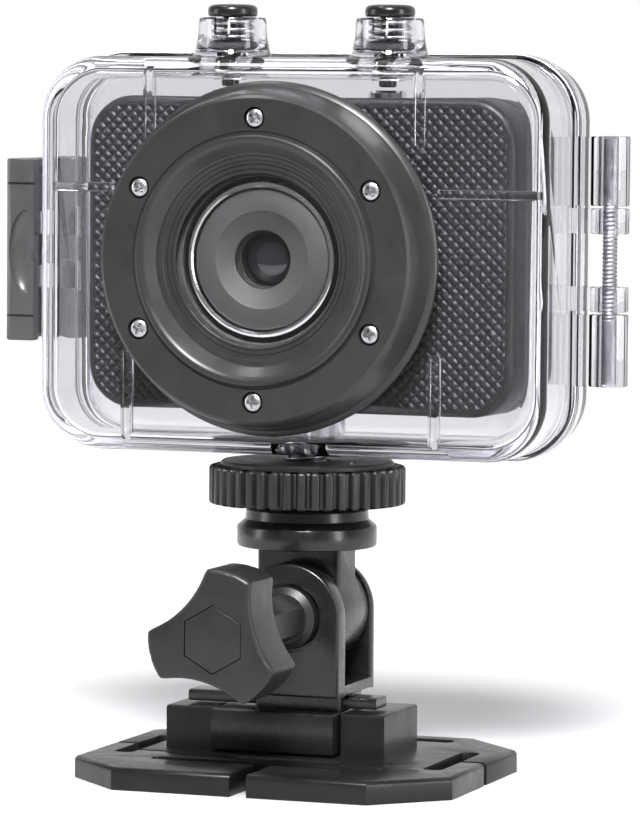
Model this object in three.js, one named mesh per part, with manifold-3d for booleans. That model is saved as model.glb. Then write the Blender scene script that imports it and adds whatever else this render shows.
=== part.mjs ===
// Action camera in a clear waterproof housing, on a tilting clip mount with an octagonal strap base.
// Millimetres, +Z up. The front of the camera faces -Y. The origin is on the floor, under the mount axis.
import * as THREE from 'three';
import { mergeVertices } from 'three/addons/utils/BufferGeometryUtils.js';
import Module from 'manifold-3d';

const wasm = await Module();
wasm.setup();

// ---------- driving dimensions ----------
const GAP = 0.3;                      // clearance kept between neighbouring pieces
const TAU = Math.PI * 2;

const PLATE = { w: 54.2, d: 46.4, y: -3.2, chamfer: 9, t: 3.1, edge: 0.7 };
const SLOT = { width: 2.8, side: 18, row: 33, inset: 3.4, frontInset: 9.5 };
const SLIT = { half: 1.2, sideHalf: 0.6 };
const SCORE = { x0: -21, x1: 16, y0: -9.7, y1: -8.7, depth: 0.7 };   // groove in front of the rails
const RAIL = { left: -18.6, right: 13.2, y0: -5, y1: 9, top: 9, lip: 5.8, undercut: 1.8 };
const CLIP = { x0: -11.15, x1: 6.6, y0: -7.4, y1: 11.2, z0: 3.45, z1: 9.1 };
const WING = { reach: 1.6, top: 5.4, y0: 0.6 };                      // runs in the rails' channels
const BAR = { x0: -16.3, x1: 11.2, y0: -2.6, y1: 1.6, z0: 9.4, z1: 11 };   // finger bar over the rails
const WAIST = { hx: 6.3, y0: -3.4, y1: 5.6 };
const RELIEF = { side: 2, front: 2.5, depth: 2.6 };                  // hollow under the clip

const PIVOT_Z = 22.1;                 // height of the tilt axis, which runs along Y
const YOKE = { r: 7.4, z0: 11.3, front: -7.7, frontIn: -4.5, rearIn: 6, rear: 7.4, floor: 12.8 };
const YOKE_BOSS = { r: 5, y1: 9.6 };
const HUB_SEAT = { r: 4.8, depth: 0.8 };
const BOLT = { r: 2, hole: 2.3, y0: -31, y1: 8.7 };
const NUT = { across: 3.5, y0: 7.2, y1: 9.2 };
const KNOB = { face: -36, back: -27, tip: 9.3, valley: 5.9, corner: 21, blend: 0.9, turn: 76, edge: 0.7 };
const HUB = { r: 3.4, end: -7.2 };
const CAP = { r: 4.3, seat: 4.6, y0: 0.15, y1: 1.1, seatDepth: 1.4 };  // depths behind the knob's face
const BARREL = { r: 7.1, y0: -4.1, y1: 5.6 };
const NECK = { w: 12, d: 6.8 };
const DISC = { r: 9.6, z0: 31.3, shoulder: 34, chamfer: 1, bossR: 8.4, z1: 36.7 };
const STUD = { r: 3, hole: 3.3, z0: 28.3, z1: 47.8 };
const WHEEL = { r: 13.5, root: 12.75, teeth: 44, z0: 37.2, z1: 42.4, topR: 11.9, top: 43.1 };

const CASE = { z: 71.2, hx: 36.5, hz: 27, r: 8.5, front: -9.9, edge: 3, wall: 2.1, cavityR: 6.6 };
const RIM = { hx: 37.3, hz: 27.6, shell0: 3.1, shell1: 4.7, door0: 5.1, door1: 6.8 };
const DOOR = { hx: 36.8, hz: 27.1, rear: 12.7, edge: 3, wall: 1.9 };
const SEAL = { hx: 35.7, hz: 26.4, r: 7.1, w: 1, y0: 4.95, y1: 6.25, grooveW: 1.6, groove: 6.5 };

// Ribs behind the front wall: half a thickness, a depth along Y, and where each one ends.
const RIB = { half: 0.65, y0: -8.1, y1: -5.95, root: 0.2 };
const RIBS_ACROSS = { right: { x: 20.7, z: 80 }, left: { x: -25.9, z: 80.3 } };
const RIBS_DOWN = [{ x: -20.5, z: 86.8 }, { x: 18.3, z: 85.9 }];
const RIBS_UP = [{ x: -23.6, z: 58 }, { x: 20.8, z: 58.5 }];
const TRIPOD_BOSS = { r: 5.3, bore: 4.2, top: 49.6, floor: 48.6 };
const INSERT = { r: 3.75, knurl: 0.15, ridges: 16, z0: 44.5, z1: 48.3 };

const HINGE = { x: 41.4, y: 4.9, r: 2.6, hole: 1.35, pin: 1.05, z0: 54.1, z1: 87.9, inset: 0.4 };
const SHELL_KNUCKLES = [[54.1, 63.9], [78.5, 87.9]];
const DOOR_KNUCKLES = [[64.2, 67.6], [74.7, 78.2]];

const LATCH = { x: -40.9, y: 10.9, r: 2.7, z0: 58.6, z1: 83.9, pin: 0.85, hole: 1.15, inset: 0.5 };
const LEVER = { outer: -44.3, inner: -42.6, tip: -39.6, y0: -3.2, y1: 12.9, lip: 1.9 };
const SCOOP = { x: -40.6, y: -3.4, z: 71, rx: 2.8, ry: 1.4, rz: 5.9 };
const LUG = { half: 1.7, spans: [[65.8, 69.2], [73.2, 76.7]], slotX: -42.95, room: 0.35 };
const CATCH = { x: -40.1, y0: -0.6, y1: 1.7, inset: 0.2 };

const LENS = { x: -1.85, z: 71 };
const BEZEL = { r: 24, face: -16.9, faceR: 21.8, back: -10.2, lipR: 17, lip: -17.6, cupR: 13.4, cup: -15.6 };
const PORT = { bore: 12.7, stop: 11.7, stopT: 0.3 };                 // the bezel's bore and the lip before it
const BEZEL_SCREWS = { count: 6, pitchR: 19.05, head: 1.25, shaft: 0.7, headT: 0.8, tip: -8.6 };
const CROSS = { reach: 0.75, half: 0.15, depth: 0.4 };
const GASKET = { r0: 21.7, r1: 22.7, depth: 0.6, proud: 0.15, groove: 0.9 };
const COLLAR = { outer: 12.4, inner: 11.2, front: -12.3 };
const WINDOW = { y0: -15.05, y1: -14.05 };
const WINDOW_SEAL = { y0: -13.75, y1: -12.6 };

const BUTTONS = { left: -11.2, right: 11.6 };
const SLEEVE = { y: -0.5, skirt: 5.4, r0: 4.9, r1: 4.6, bore: 3.75, floor: 98.5, top: 103.6 };
const SLEEVE_SLOT = { w: 2, z: 100.5 };
const STEM_HOLE = 1.5;
const PLUNGER = { cap: 3.4, stem: 1.2, bottom: 94.2, capZ: 103.7, top: 105.4, crown: 1.6 };
const STEM_SEAL = { r0: 1.5, r1: 3.4, z0: 98.8, z1: 100 };
const STEM_CLIP = { r0: 1.45, r1: 2.3, z0: 95.2, z1: 95.7 };
const SPRING = { r: 2.75, wire: 0.26, z0: 100.4, z1: 103.2, turns: 3.5, steps: 10 };

const CAM = { x: 0.5, z: 71.4, hx: 30.75, hz: 21.4, r: 6.2, front: -5.6, split: 3, rear: 9.4, wall: 1.4 };
const CAM_EDGE = { front: 1.2, rear: 2 };
const CAM_BUTTON = { r: 2.6, hole: 2.9, top: 93.8, bottom: 90.2, flange: 3.3 };
const CAM_POST = { x: 27.2, z: 18.2, r: 1.7, hole: 0.95, screw: 0.65 };
const CAM_LENS_HOLE = 10.6;
const LENS_BARREL = { r0: 3.7, r1: 10.2, y0: -12.4, y1: -1.2 };
const LENS_RING = { r0: 9.75, r1: 10.5, y0: -13.75, y1: -12.7 };
const LENS_PLATE = { r0: 4, r1: 9.45, y0: -13.2, y1: -12.7 };
const ELEMENT = { r: 3.4, crown: -10.6, shoulder: -9.6, back: -7.5 };
const SENSOR = { hx: 4, hz: 3.2, y0: -0.8, y1: 0.6 };
const BOARD = { hx: 25, hz: 16, y0: 0.9, y1: 1.9 };
const SCREEN = { x: -3.5, hx: 19, hz: 14.5, y0: 6.3, y1: 7.6 };       // x is from the camera's middle
const BATTERY = { x: -2, hx: 18, hz: 15, y0: 2.3, y1: 6 };
const SCREEN_PANE = { hx: 19.7, hz: 15.2, inset: 0.1 };

// Each finish is a colour, a roughness and a metalness.
const FINISHES = {
  black: [0x18181a, 0.38, 0],
  satin: [0x232326, 0.5, 0],
  rubber: [0x101011, 0.85, 0],
  silicone: [0xd8dade, 0.5, 0],
  clear: [0xe8eaf2, 0.06, 0],
  steel: [0xb9babd, 0.3, 1],
  chrome: [0xf2f2f4, 0.1, 1],
  board: [0x1c5a34, 0.6, 0],
  glass: [0x20242c, 0.05, 0],
  cell: [0x3a4654, 0.5, 0],
};

// ---------- geometry helpers ----------

// Drops everything but positions, merges shared corners, removes flat triangles and points the faces out.
function tidy(geometry) {
  const g = geometry.clone();
  for (const name of Object.keys(g.attributes)) if (name !== 'position') g.deleteAttribute(name);
  g.clearGroups();
  const merged = mergeVertices(g, 1e-4);
  const pos = merged.attributes.position;
  const index = merged.index.array;
  const [a, b, c] = [new THREE.Vector3(), new THREE.Vector3(), new THREE.Vector3()];
  const kept = [];
  let volume = 0;
  for (let i = 0; i < index.length; i += 3) {
    const [i0, i1, i2] = [index[i], index[i + 1], index[i + 2]];
    if (i0 === i1 || i1 === i2 || i2 === i0) continue;
    a.fromBufferAttribute(pos, i0);
    b.fromBufferAttribute(pos, i1);
    c.fromBufferAttribute(pos, i2);
    volume += a.dot(b.cross(c));
    kept.push(i0, i1, i2);
  }
  if (volume < 0) {
    for (let i = 0; i < kept.length; i += 3) [kept[i + 1], kept[i + 2]] = [kept[i + 2], kept[i + 1]];
  }
  merged.setIndex(kept);
  return merged;
}

function toSolid(geometry) {
  const g = tidy(geometry);
  return new wasm.Manifold(new wasm.Mesh({
    numProp: 3,
    vertProperties: new Float32Array(g.attributes.position.array),
    triVerts: new Uint32Array(g.index.array),
  }));
}

function toGeometry(solid) {
  const mesh = solid.getMesh();
  const g = new THREE.BufferGeometry();
  g.setAttribute('position', new THREE.BufferAttribute(new Float32Array(mesh.vertProperties), 3));
  g.setIndex(new THREE.BufferAttribute(new Uint32Array(mesh.triVerts), 1));
  g.computeVertexNormals();
  return g;
}

const join = (...parts) => toGeometry(parts.map(toSolid).reduce((a, b) => a.add(b)));
const cut = (body, ...tools) => toGeometry(tools.map(toSolid).reduce((a, b) => a.subtract(b), toSolid(body)));
const common = (a, b) => toGeometry(toSolid(a).intersect(toSolid(b)));

function box(x0, x1, y0, y1, z0, z1) {
  const g = new THREE.BoxGeometry(x1 - x0, y1 - y0, z1 - z0);
  return g.translate((x0 + x1) / 2, (y0 + y1) / 2, (z0 + z1) / 2);
}

// A cylinder along Z, or along Y, between two stations.
function rodZ(x, y, r, z0, z1, sides = 20) {
  return new THREE.CylinderGeometry(r, r, z1 - z0, sides).rotateX(Math.PI / 2).translate(x, y, (z0 + z1) / 2);
}
function rodY(x, z, r, y0, y1, sides = 20) {
  return new THREE.CylinderGeometry(r, r, y1 - y0, sides).translate(x, (y0 + y1) / 2, z);
}

// Turned pieces: the profile is a list of [radius, station] pairs.
function turnedZ(x, y, profile, sides = 24) {
  const points = profile.map(([r, z]) => new THREE.Vector2(r, z));
  return new THREE.LatheGeometry(points, sides).rotateX(Math.PI / 2).translate(x, y, 0);
}
function turnedY(x, z, profile, sides = 36) {
  const points = profile.map(([r, y]) => new THREE.Vector2(r, y));
  return new THREE.LatheGeometry(points, sides).translate(x, 0, z);
}

// A plain ring between two radii and two stations.
const ringZ = (x, y, r0, r1, z0, z1, sides) =>
  turnedZ(x, y, [[r0, z0], [r1, z0], [r1, z1], [r0, z1], [r0, z0]], sides);
const ringY = (x, z, r0, r1, y0, y1, sides = 32) =>
  turnedY(x, z, [[r0, y0], [r1, y0], [r1, y1], [r0, y1], [r0, y0]], sides);

function extruded(shape, length, bevel) {
  return new THREE.ExtrudeGeometry(shape, { depth: length - 2 * bevel, curveSegments: 5, bevelSegments: 2,
    bevelEnabled: bevel > 0, bevelThickness: bevel, bevelSize: bevel, bevelOffset: -bevel });
}

// Outlines drawn in plan (X, Y) are extruded up Z; outlines drawn in elevation (X, Z) run along Y.
function alongZ(shape, z0, z1, bevel = 0) {
  return extruded(shape, z1 - z0, bevel).translate(0, 0, z0 + bevel);
}
function alongY(shape, y0, y1, bevel = 0) {
  return extruded(shape, y1 - y0, bevel).rotateX(Math.PI / 2).translate(0, y1 - bevel, 0);
}

function roundedRect(hx, hz, r, cx = 0, cz = 0) {
  const s = new THREE.Shape();
  s.absarc(cx + hx - r, cz + hz - r, r, 0, TAU / 4);
  s.absarc(cx - hx + r, cz + hz - r, r, TAU / 4, TAU / 2);
  s.absarc(cx - hx + r, cz - hz + r, r, TAU / 2, 3 * TAU / 4);
  s.absarc(cx + hx - r, cz - hz + r, r, 3 * TAU / 4, TAU);
  s.closePath();
  return s;
}

function polygon(points) {
  return new THREE.Shape(points.map(([x, y]) => new THREE.Vector2(x, y)));
}

// A closed outline from a radius that varies with angle.
function polarShape(radiusAt, steps) {
  const points = [];
  for (let i = 0; i < steps; i++) {
    const a = (i / steps) * TAU;
    points.push([radiusAt(a) * Math.cos(a), radiusAt(a) * Math.sin(a)]);
  }
  return polygon(points);
}

// A block with rounded corners in elevation whose front edge, rear edge or neither is rounded over.
function caseBlock(hx, hz, r, y0, y1, edge, end, cx = 0, cz = CASE.z) {
  const shape = roundedRect(hx, hz, r, cx, cz);
  if (!edge) return alongY(shape, y0, y1);
  const spare = edge + 1;
  const long = end === 'front' ? alongY(shape, y0, y1 + spare, edge) : alongY(shape, y0 - spare, y1, edge);
  return common(long, box(cx - hx - 1, cx + hx + 1, y0, y1, cz - hz - 1, cz + hz + 1));
}

const group = new THREE.Group();

function add(name, geometry, finish) {
  const [color, roughness, metalness] = FINISHES[finish];
  const material = new THREE.MeshStandardMaterial({ color, roughness, metalness });
  if (finish === 'clear') Object.assign(material, { transparent: true, opacity: 0.25 });
  const mesh = new THREE.Mesh(tidy(geometry), material);
  mesh.name = name;
  group.add(mesh);
}

// ---------- strap base ----------

function octagon() {
  const { w, d, y, chamfer: c } = PLATE;
  const [hx, hy] = [w / 2, d / 2];
  return polygon([[hx - c, y - hy], [hx, y - hy + c], [hx, y + hy - c], [hx - c, y + hy],
    [c - hx, y + hy], [-hx, y + hy - c], [-hx, y - hy + c], [c - hx, y - hy]]);
}

// Four strap slots, each opened to its edge by a slit so a strap loop can be slipped in.
function strapSlots() {
  const { w, d, y, t } = PLATE;
  const { width, side, row, inset, frontInset } = SLOT;
  const through = (x0, x1, y0, y1) =>
    box(Math.min(x0, x1), Math.max(x0, x1), Math.min(y0, y1), Math.max(y0, y1), -1, t + 1);
  return [-1, 1].flatMap((s) => {
    const sideX = s * (w / 2 - inset);
    const rowY = y + s * (d / 2 - (s < 0 ? frontInset : inset));
    return [
      through(sideX, sideX - s * width, y - side / 2, y + side / 2),
      through(sideX, s * w, y - SLIT.sideHalf, y + SLIT.sideHalf),
      through(-row / 2, row / 2, rowY, rowY - s * width),
      through(-SLIT.half, SLIT.half, rowY, y + s * d),
    ];
  });
}

// Each rail overhangs a channel, closed at the front, where a wing of the clip slides in from the rear.
function buildBase() {
  const { t, edge } = PLATE;
  const { left, right, y0, y1, top, lip, undercut } = RAIL;
  const slab = common(alongZ(octagon(), -2, t, edge), box(-40, 40, -40, 40, 0, t));
  const inLeft = CLIP.x0 - GAP;
  const inRight = CLIP.x1 + GAP;
  const root = t - 0.5;
  const plate = join(cut(slab, ...strapSlots()),
    box(left, inLeft, y0, y1, root, top),
    box(inRight, right, y0, y1, root, top));
  const channelFront = WING.y0 - GAP;
  add('base_plate', cut(plate,
    box(inLeft - undercut, inLeft + 0.2, channelFront, y1 + 1, t, lip),
    box(inRight - 0.2, inRight + undercut, channelFront, y1 + 1, t, lip),
    box(SCORE.x0, SCORE.x1, SCORE.y0, SCORE.y1, t - SCORE.depth, t + 1)), 'black');
}

// ---------- clip, yoke and clamp ----------

function cheek(y0, y1) {
  const s = new THREE.Shape();
  s.moveTo(-YOKE.r, YOKE.z0);
  s.lineTo(YOKE.r, YOKE.z0);
  s.absarc(0, PIVOT_Z, YOKE.r, 0, Math.PI);
  s.closePath();
  return new THREE.ExtrudeGeometry(s, { depth: y1 - y0, curveSegments: 14, bevelEnabled: false })
    .rotateX(Math.PI / 2).translate(0, y1, 0);
}

function buildClip() {
  const { x0, x1, y0, y1, z0, z1 } = CLIP;
  const { front, frontIn, rearIn, rear, floor } = YOKE;
  const body = join(box(x0, x1, y0, y1, z0, z1),
    box(x0 - WING.reach, x1 + WING.reach, WING.y0, y1, z0, WING.top),
    box(BAR.x0, BAR.x1, BAR.y0, BAR.y1, BAR.z0, BAR.z1),
    box(-WAIST.hx, WAIST.hx, WAIST.y0, WAIST.y1, z1 - 0.5, YOKE.z0 + 0.5),
    box(-YOKE.r, YOKE.r, front, rear, YOKE.z0, floor),
    cheek(front, frontIn), cheek(rearIn, rear),
    rodY(0, PIVOT_Z, YOKE_BOSS.r, rear - 0.3, YOKE_BOSS.y1));
  const relief = box(x0 + RELIEF.side, x1 - RELIEF.side, y0 + RELIEF.front, y1 - RELIEF.side,
    z0 - 1, z0 + RELIEF.depth);
  add('clip_yoke', cut(body, relief,
    rodY(0, PIVOT_Z, BOLT.hole, -12, 12),
    rodY(0, PIVOT_Z, HUB_SEAT.r, front - 1, front + HUB_SEAT.depth, 28),
    rodY(0, PIVOT_Z, NUT.across + GAP, NUT.y0 - GAP, YOKE_BOSS.y1 + 1, 6)), 'black');
  add('clamp_nut', cut(rodY(0, PIVOT_Z, NUT.across, NUT.y0, NUT.y1, 6),
    rodY(0, PIVOT_Z, BOLT.r + GAP, 0, 12)), 'steel');
}

// Three broad lobes of one radius, joined by hollow arcs that pass through the valleys between them.
function knobRadius(a) {
  const { tip, valley, corner, blend, turn } = KNOB;
  const rad = THREE.MathUtils.degToRad;
  const half = rad(60 - corner);
  const [ex, ey] = [tip * Math.cos(half), tip * Math.sin(half)];
  const centre = (ex * ex + ey * ey - valley * valley) / (2 * (ex - valley));
  const arcR = centre - valley;
  const fromValley = THREE.MathUtils.euclideanModulo(a - rad(turn), TAU / 3) - TAU / 6;
  const inside = Math.max(0, arcR * arcR - (centre * Math.sin(fromValley)) ** 2);
  const hollow = centre * Math.cos(fromValley) - Math.sqrt(inside);
  const overlap = Math.max(0, blend - Math.abs(hollow - tip)) / blend;
  return Math.min(hollow, tip) - (overlap * overlap * blend) / 4;
}

function buildKnob() {
  const { face, back, edge } = KNOB;
  const lobes = alongY(polarShape(knobRadius, 48), face, back, edge).translate(0, 0, PIVOT_Z);
  const hub = rodY(0, PIVOT_Z, HUB.r, back - 1, HUB.end, 6);
  add('knob_grip', cut(join(lobes, hub),
    rodY(0, PIVOT_Z, CAP.seat, face - 1, face + CAP.seatDepth, 6),
    rodY(0, PIVOT_Z, BOLT.hole, BOLT.y0 - GAP, 0)), 'satin');
  add('knob_cap', rodY(0, PIVOT_Z, CAP.r, face + CAP.y0, face + CAP.y1, 6), 'satin');
  add('clamp_bolt', rodY(0, PIVOT_Z, BOLT.r, BOLT.y0, BOLT.y1, 20), 'steel');
}

function buildTiltHead() {
  const { r, z0, shoulder, chamfer, bossR, z1 } = DISC;
  const disc = turnedZ(0, 0, [[0, z0], [r, z0], [r, shoulder], [r - chamfer, shoulder + chamfer],
    [bossR, z1], [0, z1]], 32);
  const neck = box(-NECK.w / 2, NECK.w / 2, -NECK.d / 2, NECK.d / 2, PIVOT_Z, z0 + 0.5);
  add('tilt_head', cut(join(disc, neck, rodY(0, PIVOT_Z, BARREL.r, BARREL.y0, BARREL.y1, 28)),
    rodY(0, PIVOT_Z, BOLT.hole, -12, 12),
    rodZ(0, 0, STUD.hole, STUD.z0 - GAP, z1 + 1)), 'black');
  add('tripod_stud', rodZ(0, 0, STUD.r, STUD.z0, STUD.z1, 24), 'steel');
}

function buildWheel() {
  const { r, root, teeth, z0, z1, topR, top } = WHEEL;
  const knurl = [];
  for (let i = 0; i < teeth; i++) {
    [[0, root], [0.22, r], [0.62, r], [0.84, root]].forEach(([step, radius]) => {
      const a = ((i + step) / teeth) * TAU;
      knurl.push([radius * Math.cos(a), radius * Math.sin(a)]);
    });
  }
  const body = join(alongZ(polygon(knurl), z0, z1), turnedZ(0, 0, [[0, z1 - 1], [topR, z1 - 1],
    [topR, top - 0.3], [topR - 0.3, top], [0, top]], 32));
  add('thumb_wheel', cut(body, rodZ(0, 0, STUD.hole, z0 - 1, top + 1)), 'satin');
}

// ---------- clear housing ----------

function knuckles(spans, y0, y1) {
  return spans.flatMap(([z0, z1]) => [rodZ(HINGE.x, HINGE.y, HINGE.r, z0, z1, 18),
    box(CASE.hx - 1, HINGE.x, y0, y1, z0, z1)]);
}
const hingeBore = () => rodZ(HINGE.x, HINGE.y, HINGE.hole, 50, 92, 20);

// Ribs on the inside of the front wall, which steady the camera.
function frontRibs() {
  const { half, y0, y1, root } = RIB;
  const inX = CASE.hx - CASE.wall + root;
  const low = CASE.z - CASE.hz + CASE.wall - root;
  const high = CASE.z + CASE.hz - CASE.wall + root;
  const { left, right } = RIBS_ACROSS;
  return [
    box(right.x, inX, y0, y1, right.z - half, right.z + half),
    box(-inX, left.x, y0, y1, left.z - half, left.z + half),
    ...RIBS_DOWN.map(({ x, z }) => box(x - half, x + half, y0, y1, z, high)),
    ...RIBS_UP.map(({ x, z }) => box(x - half, x + half, y0, y1, low, z)),
  ];
}

function sleeve(x) {
  const { y, skirt, r0, r1, top, floor } = SLEEVE;
  return turnedZ(x, y, [[0, floor - 1.5], [skirt, floor - 1.5], [skirt, floor], [r0, floor + 1.1],
    [r1, floor + 2.5], [r1, top], [0, top]], 24);
}

// The bore of a sleeve, the hole for the stem below it and the slot that is open at the top.
function sleeveBore(x) {
  const { y, bore, floor, top } = SLEEVE;
  const { w, z } = SLEEVE_SLOT;
  const front = y - 8;
  return [rodZ(x, y, bore, floor, top + 1), rodZ(x, y, STEM_HOLE, floor - 4.5, floor + 1, 20),
    box(x - w / 2, x + w / 2, front, y, z, top + 1), rodY(x, z, w / 2, front, y, 16)];
}

function shellCatches() {
  const { x, y0, y1, inset } = CATCH;
  return LUG.spans.map(([z0, z1]) => box(x, 1 - CASE.hx, y0, y1, z0 + inset, z1 - inset));
}

function buildFrontShell() {
  const { hx, hz, r, front, edge, wall, cavityR, z } = CASE;
  const outer = join(
    caseBlock(hx, hz, r, front, RIM.shell1, edge, 'front'),
    caseBlock(RIM.hx, RIM.hz, r + 0.5, RIM.shell0, RIM.shell1),
    ...knuckles(SHELL_KNUCKLES, RIM.shell0, RIM.shell1),
    ...shellCatches(),
    ...Object.values(BUTTONS).map(sleeve));
  const hollow = caseBlock(hx - wall, hz - wall, cavityR, front + wall, RIM.shell1 + 1);
  const trimmed = common(outer, box(-60, 60, front - 1, RIM.shell1, 30, 110));
  const knuckleEnds = SHELL_KNUCKLES.map(([z0, z1]) => rodZ(HINGE.x, HINGE.y, HINGE.r, z0, z1, 18));
  const collar = rodY(LENS.x, LENS.z, COLLAR.outer, COLLAR.front, front + 0.5, 32);
  const boss = common(rodZ(0, 0, TRIPOD_BOSS.r, z - hz + 0.5, TRIPOD_BOSS.top, 28),
    box(-9, 9, -9, RIM.shell1, 40, 55));
  const body = join(cut(trimmed, hollow), ...knuckleEnds, ...frontRibs(), collar, boss);
  const screws = bezelScrewPlaces().map(([x, sz]) =>
    rodY(x, sz, BEZEL_SCREWS.shaft + 0.25, front - 1, BEZEL_SCREWS.tip + 0.25, 12));
  add('front_shell', cut(body, hingeBore(), ...Object.values(BUTTONS).flatMap(sleeveBore),
    rodY(LENS.x, LENS.z, COLLAR.inner, COLLAR.front - 1, 0, 32),
    rodZ(0, 0, TRIPOD_BOSS.bore, z - hz - 1, TRIPOD_BOSS.floor, 28), ...screws), 'clear');
}

function doorLugs() {
  const { x, y } = LATCH;
  const { half, spans } = LUG;
  return spans.flatMap(([z0, z1]) => [box(x, 1.5 - DOOR.hx, y - half, y + half, z0, z1),
    rodZ(x, y, half, z0, z1, 20)]);
}

function buildDoor() {
  const { hx, hz, rear, edge } = DOOR;
  const { wall, cavityR } = CASE;
  const outer = join(caseBlock(hx, hz, CASE.r, RIM.door0, rear, edge, 'rear'),
    caseBlock(RIM.hx, RIM.hz, CASE.r + 0.5, RIM.door0, RIM.door1), ...doorLugs());
  const hollow = caseBlock(CASE.hx - wall, CASE.hz - wall, cavityR, RIM.door0 - 1, rear - DOOR.wall);
  const [gx, gz] = [SEAL.hx + GAP, SEAL.hz + GAP];
  const groove = cut(caseBlock(gx, gz, SEAL.r + GAP, RIM.door0 - 1, SEAL.groove),
    caseBlock(gx - SEAL.grooveW, gz - SEAL.grooveW, SEAL.r - 1.1, RIM.door0 - 2, SEAL.groove + 1));
  const { inset, pin } = HINGE;
  const webs = DOOR_KNUCKLES.flatMap(([z0, z1]) => [rodZ(HINGE.x, HINGE.y, HINGE.r, z0, z1, 18),
    box(hx - 0.5, HINGE.x, RIM.door0, RIM.door1, z0, z1)]);
  add('rear_door', cut(join(cut(outer, hollow, groove), ...webs), hingeBore(),
    rodZ(LATCH.x, LATCH.y, LATCH.hole, 50, 92, 16)), 'clear');
  add('door_seal', cut(caseBlock(SEAL.hx, SEAL.hz, SEAL.r, SEAL.y0, SEAL.y1),
    caseBlock(SEAL.hx - SEAL.w, SEAL.hz - SEAL.w, SEAL.r - SEAL.w, SEAL.y0 - 1, SEAL.y1 + 1)), 'silicone');
  add('hinge_pin', rodZ(HINGE.x, HINGE.y, pin, HINGE.z0 + inset, HINGE.z1 - inset, 16), 'steel');
  add('latch_pin', rodZ(LATCH.x, LATCH.y, LATCH.pin, LATCH.z0 + LATCH.inset, LATCH.z1 - LATCH.inset, 12),
    'steel');
}

// The lever hugs the side of the case: in plan, its outside bows out and its lip turns in at the front.
// The lip's face has a half oval thumb scoop, flat on the side next to the case.
function leverOutline() {
  const { outer, inner, tip, y0, y1, lip } = LEVER;
  return polygon([[tip, y0], [outer + 1.1, y0], [outer + 0.3, y0 + 0.8], [outer, 2], [outer + 0.2, 7],
    [outer + 1.1, 11.2], [outer + 2.8, y1], [inner + 0.7, 9.6], [inner, 6], [inner, 0],
    [inner + 0.5, y0 + lip], [tip, y0 + lip]]);
}

function buildLatch() {
  const { x, y, r, z0, z1, hole } = LATCH;
  const oval = new THREE.SphereGeometry(1, 16, 12).scale(SCOOP.rx, SCOOP.ry, SCOOP.rz)
    .translate(SCOOP.x, SCOOP.y, SCOOP.z);
  const scoop = common(oval, box(SCOOP.x - 5, SCOOP.x, SCOOP.y - 5, SCOOP.y + 5, z0, z1));
  const slots = LUG.spans.map(([a, b]) =>
    box(LUG.slotX, x + 5, y - 2.6, y + 3.5, a - LUG.room, b + LUG.room));
  add('latch_lever', cut(join(alongZ(leverOutline(), z0, z1), rodZ(x, y, r, z0, z1, 18)),
    scoop, ...slots, rodZ(x, y, hole, 50, 92, 16)), 'black');
}

// ---------- lens port ----------

function bezelScrewPlaces() {
  const places = [];
  for (let i = 0; i < BEZEL_SCREWS.count; i++) {
    const a = TAU / 4 - (i / BEZEL_SCREWS.count) * TAU;
    places.push([LENS.x + BEZEL_SCREWS.pitchR * Math.cos(a), LENS.z + BEZEL_SCREWS.pitchR * Math.sin(a)]);
  }
  return places;
}

function bezelRing() {
  const { r, face, faceR, back, lipR, lip, cupR, cup } = BEZEL;
  const { bore, stop, stopT } = PORT;
  return turnedY(LENS.x, LENS.z, [[bore, back], [r - 0.1, back], [r, back - 1.1], [faceR + 0.2, face + 0.4],
    [faceR, face], [lipR + 0.2, face], [lipR, lip + 0.2], [lipR - 0.3, lip], [lipR - 0.9, lip],
    [cupR + 0.4, cup + 0.4], [cupR, cup], [stop, cup], [stop, cup + stopT], [bore, cup + stopT],
    [bore, back]], 40);
}

function bezelScrew(x, z) {
  const { head, shaft, headT, tip } = BEZEL_SCREWS;
  const { face } = BEZEL;
  const { reach, half, depth } = CROSS;
  const screw = turnedY(x, z, [[0, face], [head, face], [head, face + headT], [shaft, face + headT],
    [shaft, tip - 0.4], [0, tip]], 12);
  return cut(screw, box(x - reach, x + reach, face - 1, face + depth, z - half, z + half),
    box(x - half, x + half, face - 1, face + depth, z - reach, z + reach));
}

function buildLensPort() {
  const { face, back } = BEZEL;
  const { head, shaft, headT } = BEZEL_SCREWS;
  const { r0, r1, depth, proud, groove } = GASKET;
  const gasketGroove = ringY(LENS.x, LENS.z, r0 - GAP, r1 + GAP, back - groove, back + 1);
  const holes = bezelScrewPlaces().flatMap(([x, z]) => [
    rodY(x, z, head + 0.25, face - 1, face + headT + 0.25, 12),
    rodY(x, z, shaft + 0.3, face, back + 1, 8)]);
  add('lens_bezel', cut(bezelRing(), gasketGroove, ...holes), 'black');
  add('bezel_gasket', ringY(LENS.x, LENS.z, r0, r1, back - depth, back + proud), 'rubber');
  add('lens_window', rodY(LENS.x, LENS.z, PORT.bore - GAP, WINDOW.y0, WINDOW.y1, 32), 'clear');
  add('window_seal', ringY(LENS.x, LENS.z, COLLAR.inner, COLLAR.outer, WINDOW_SEAL.y0, WINDOW_SEAL.y1),
    'rubber');
  bezelScrewPlaces().forEach(([x, z], i) => add(`bezel_screw_${i + 1}`, bezelScrew(x, z), 'steel'));
}

// ---------- push buttons on top ----------

function helix(cx, cy) {
  const { r, z0, z1, turns, steps } = SPRING;
  const points = [];
  const count = Math.round(turns * steps);
  for (let i = 0; i <= count; i++) {
    const a = (i / steps) * TAU;
    const z = z0 + ((z1 - z0) * i) / count;
    points.push(new THREE.Vector3(cx + r * Math.cos(a), cy + r * Math.sin(a), z));
  }
  return new THREE.CatmullRomCurve3(points);
}

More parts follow.
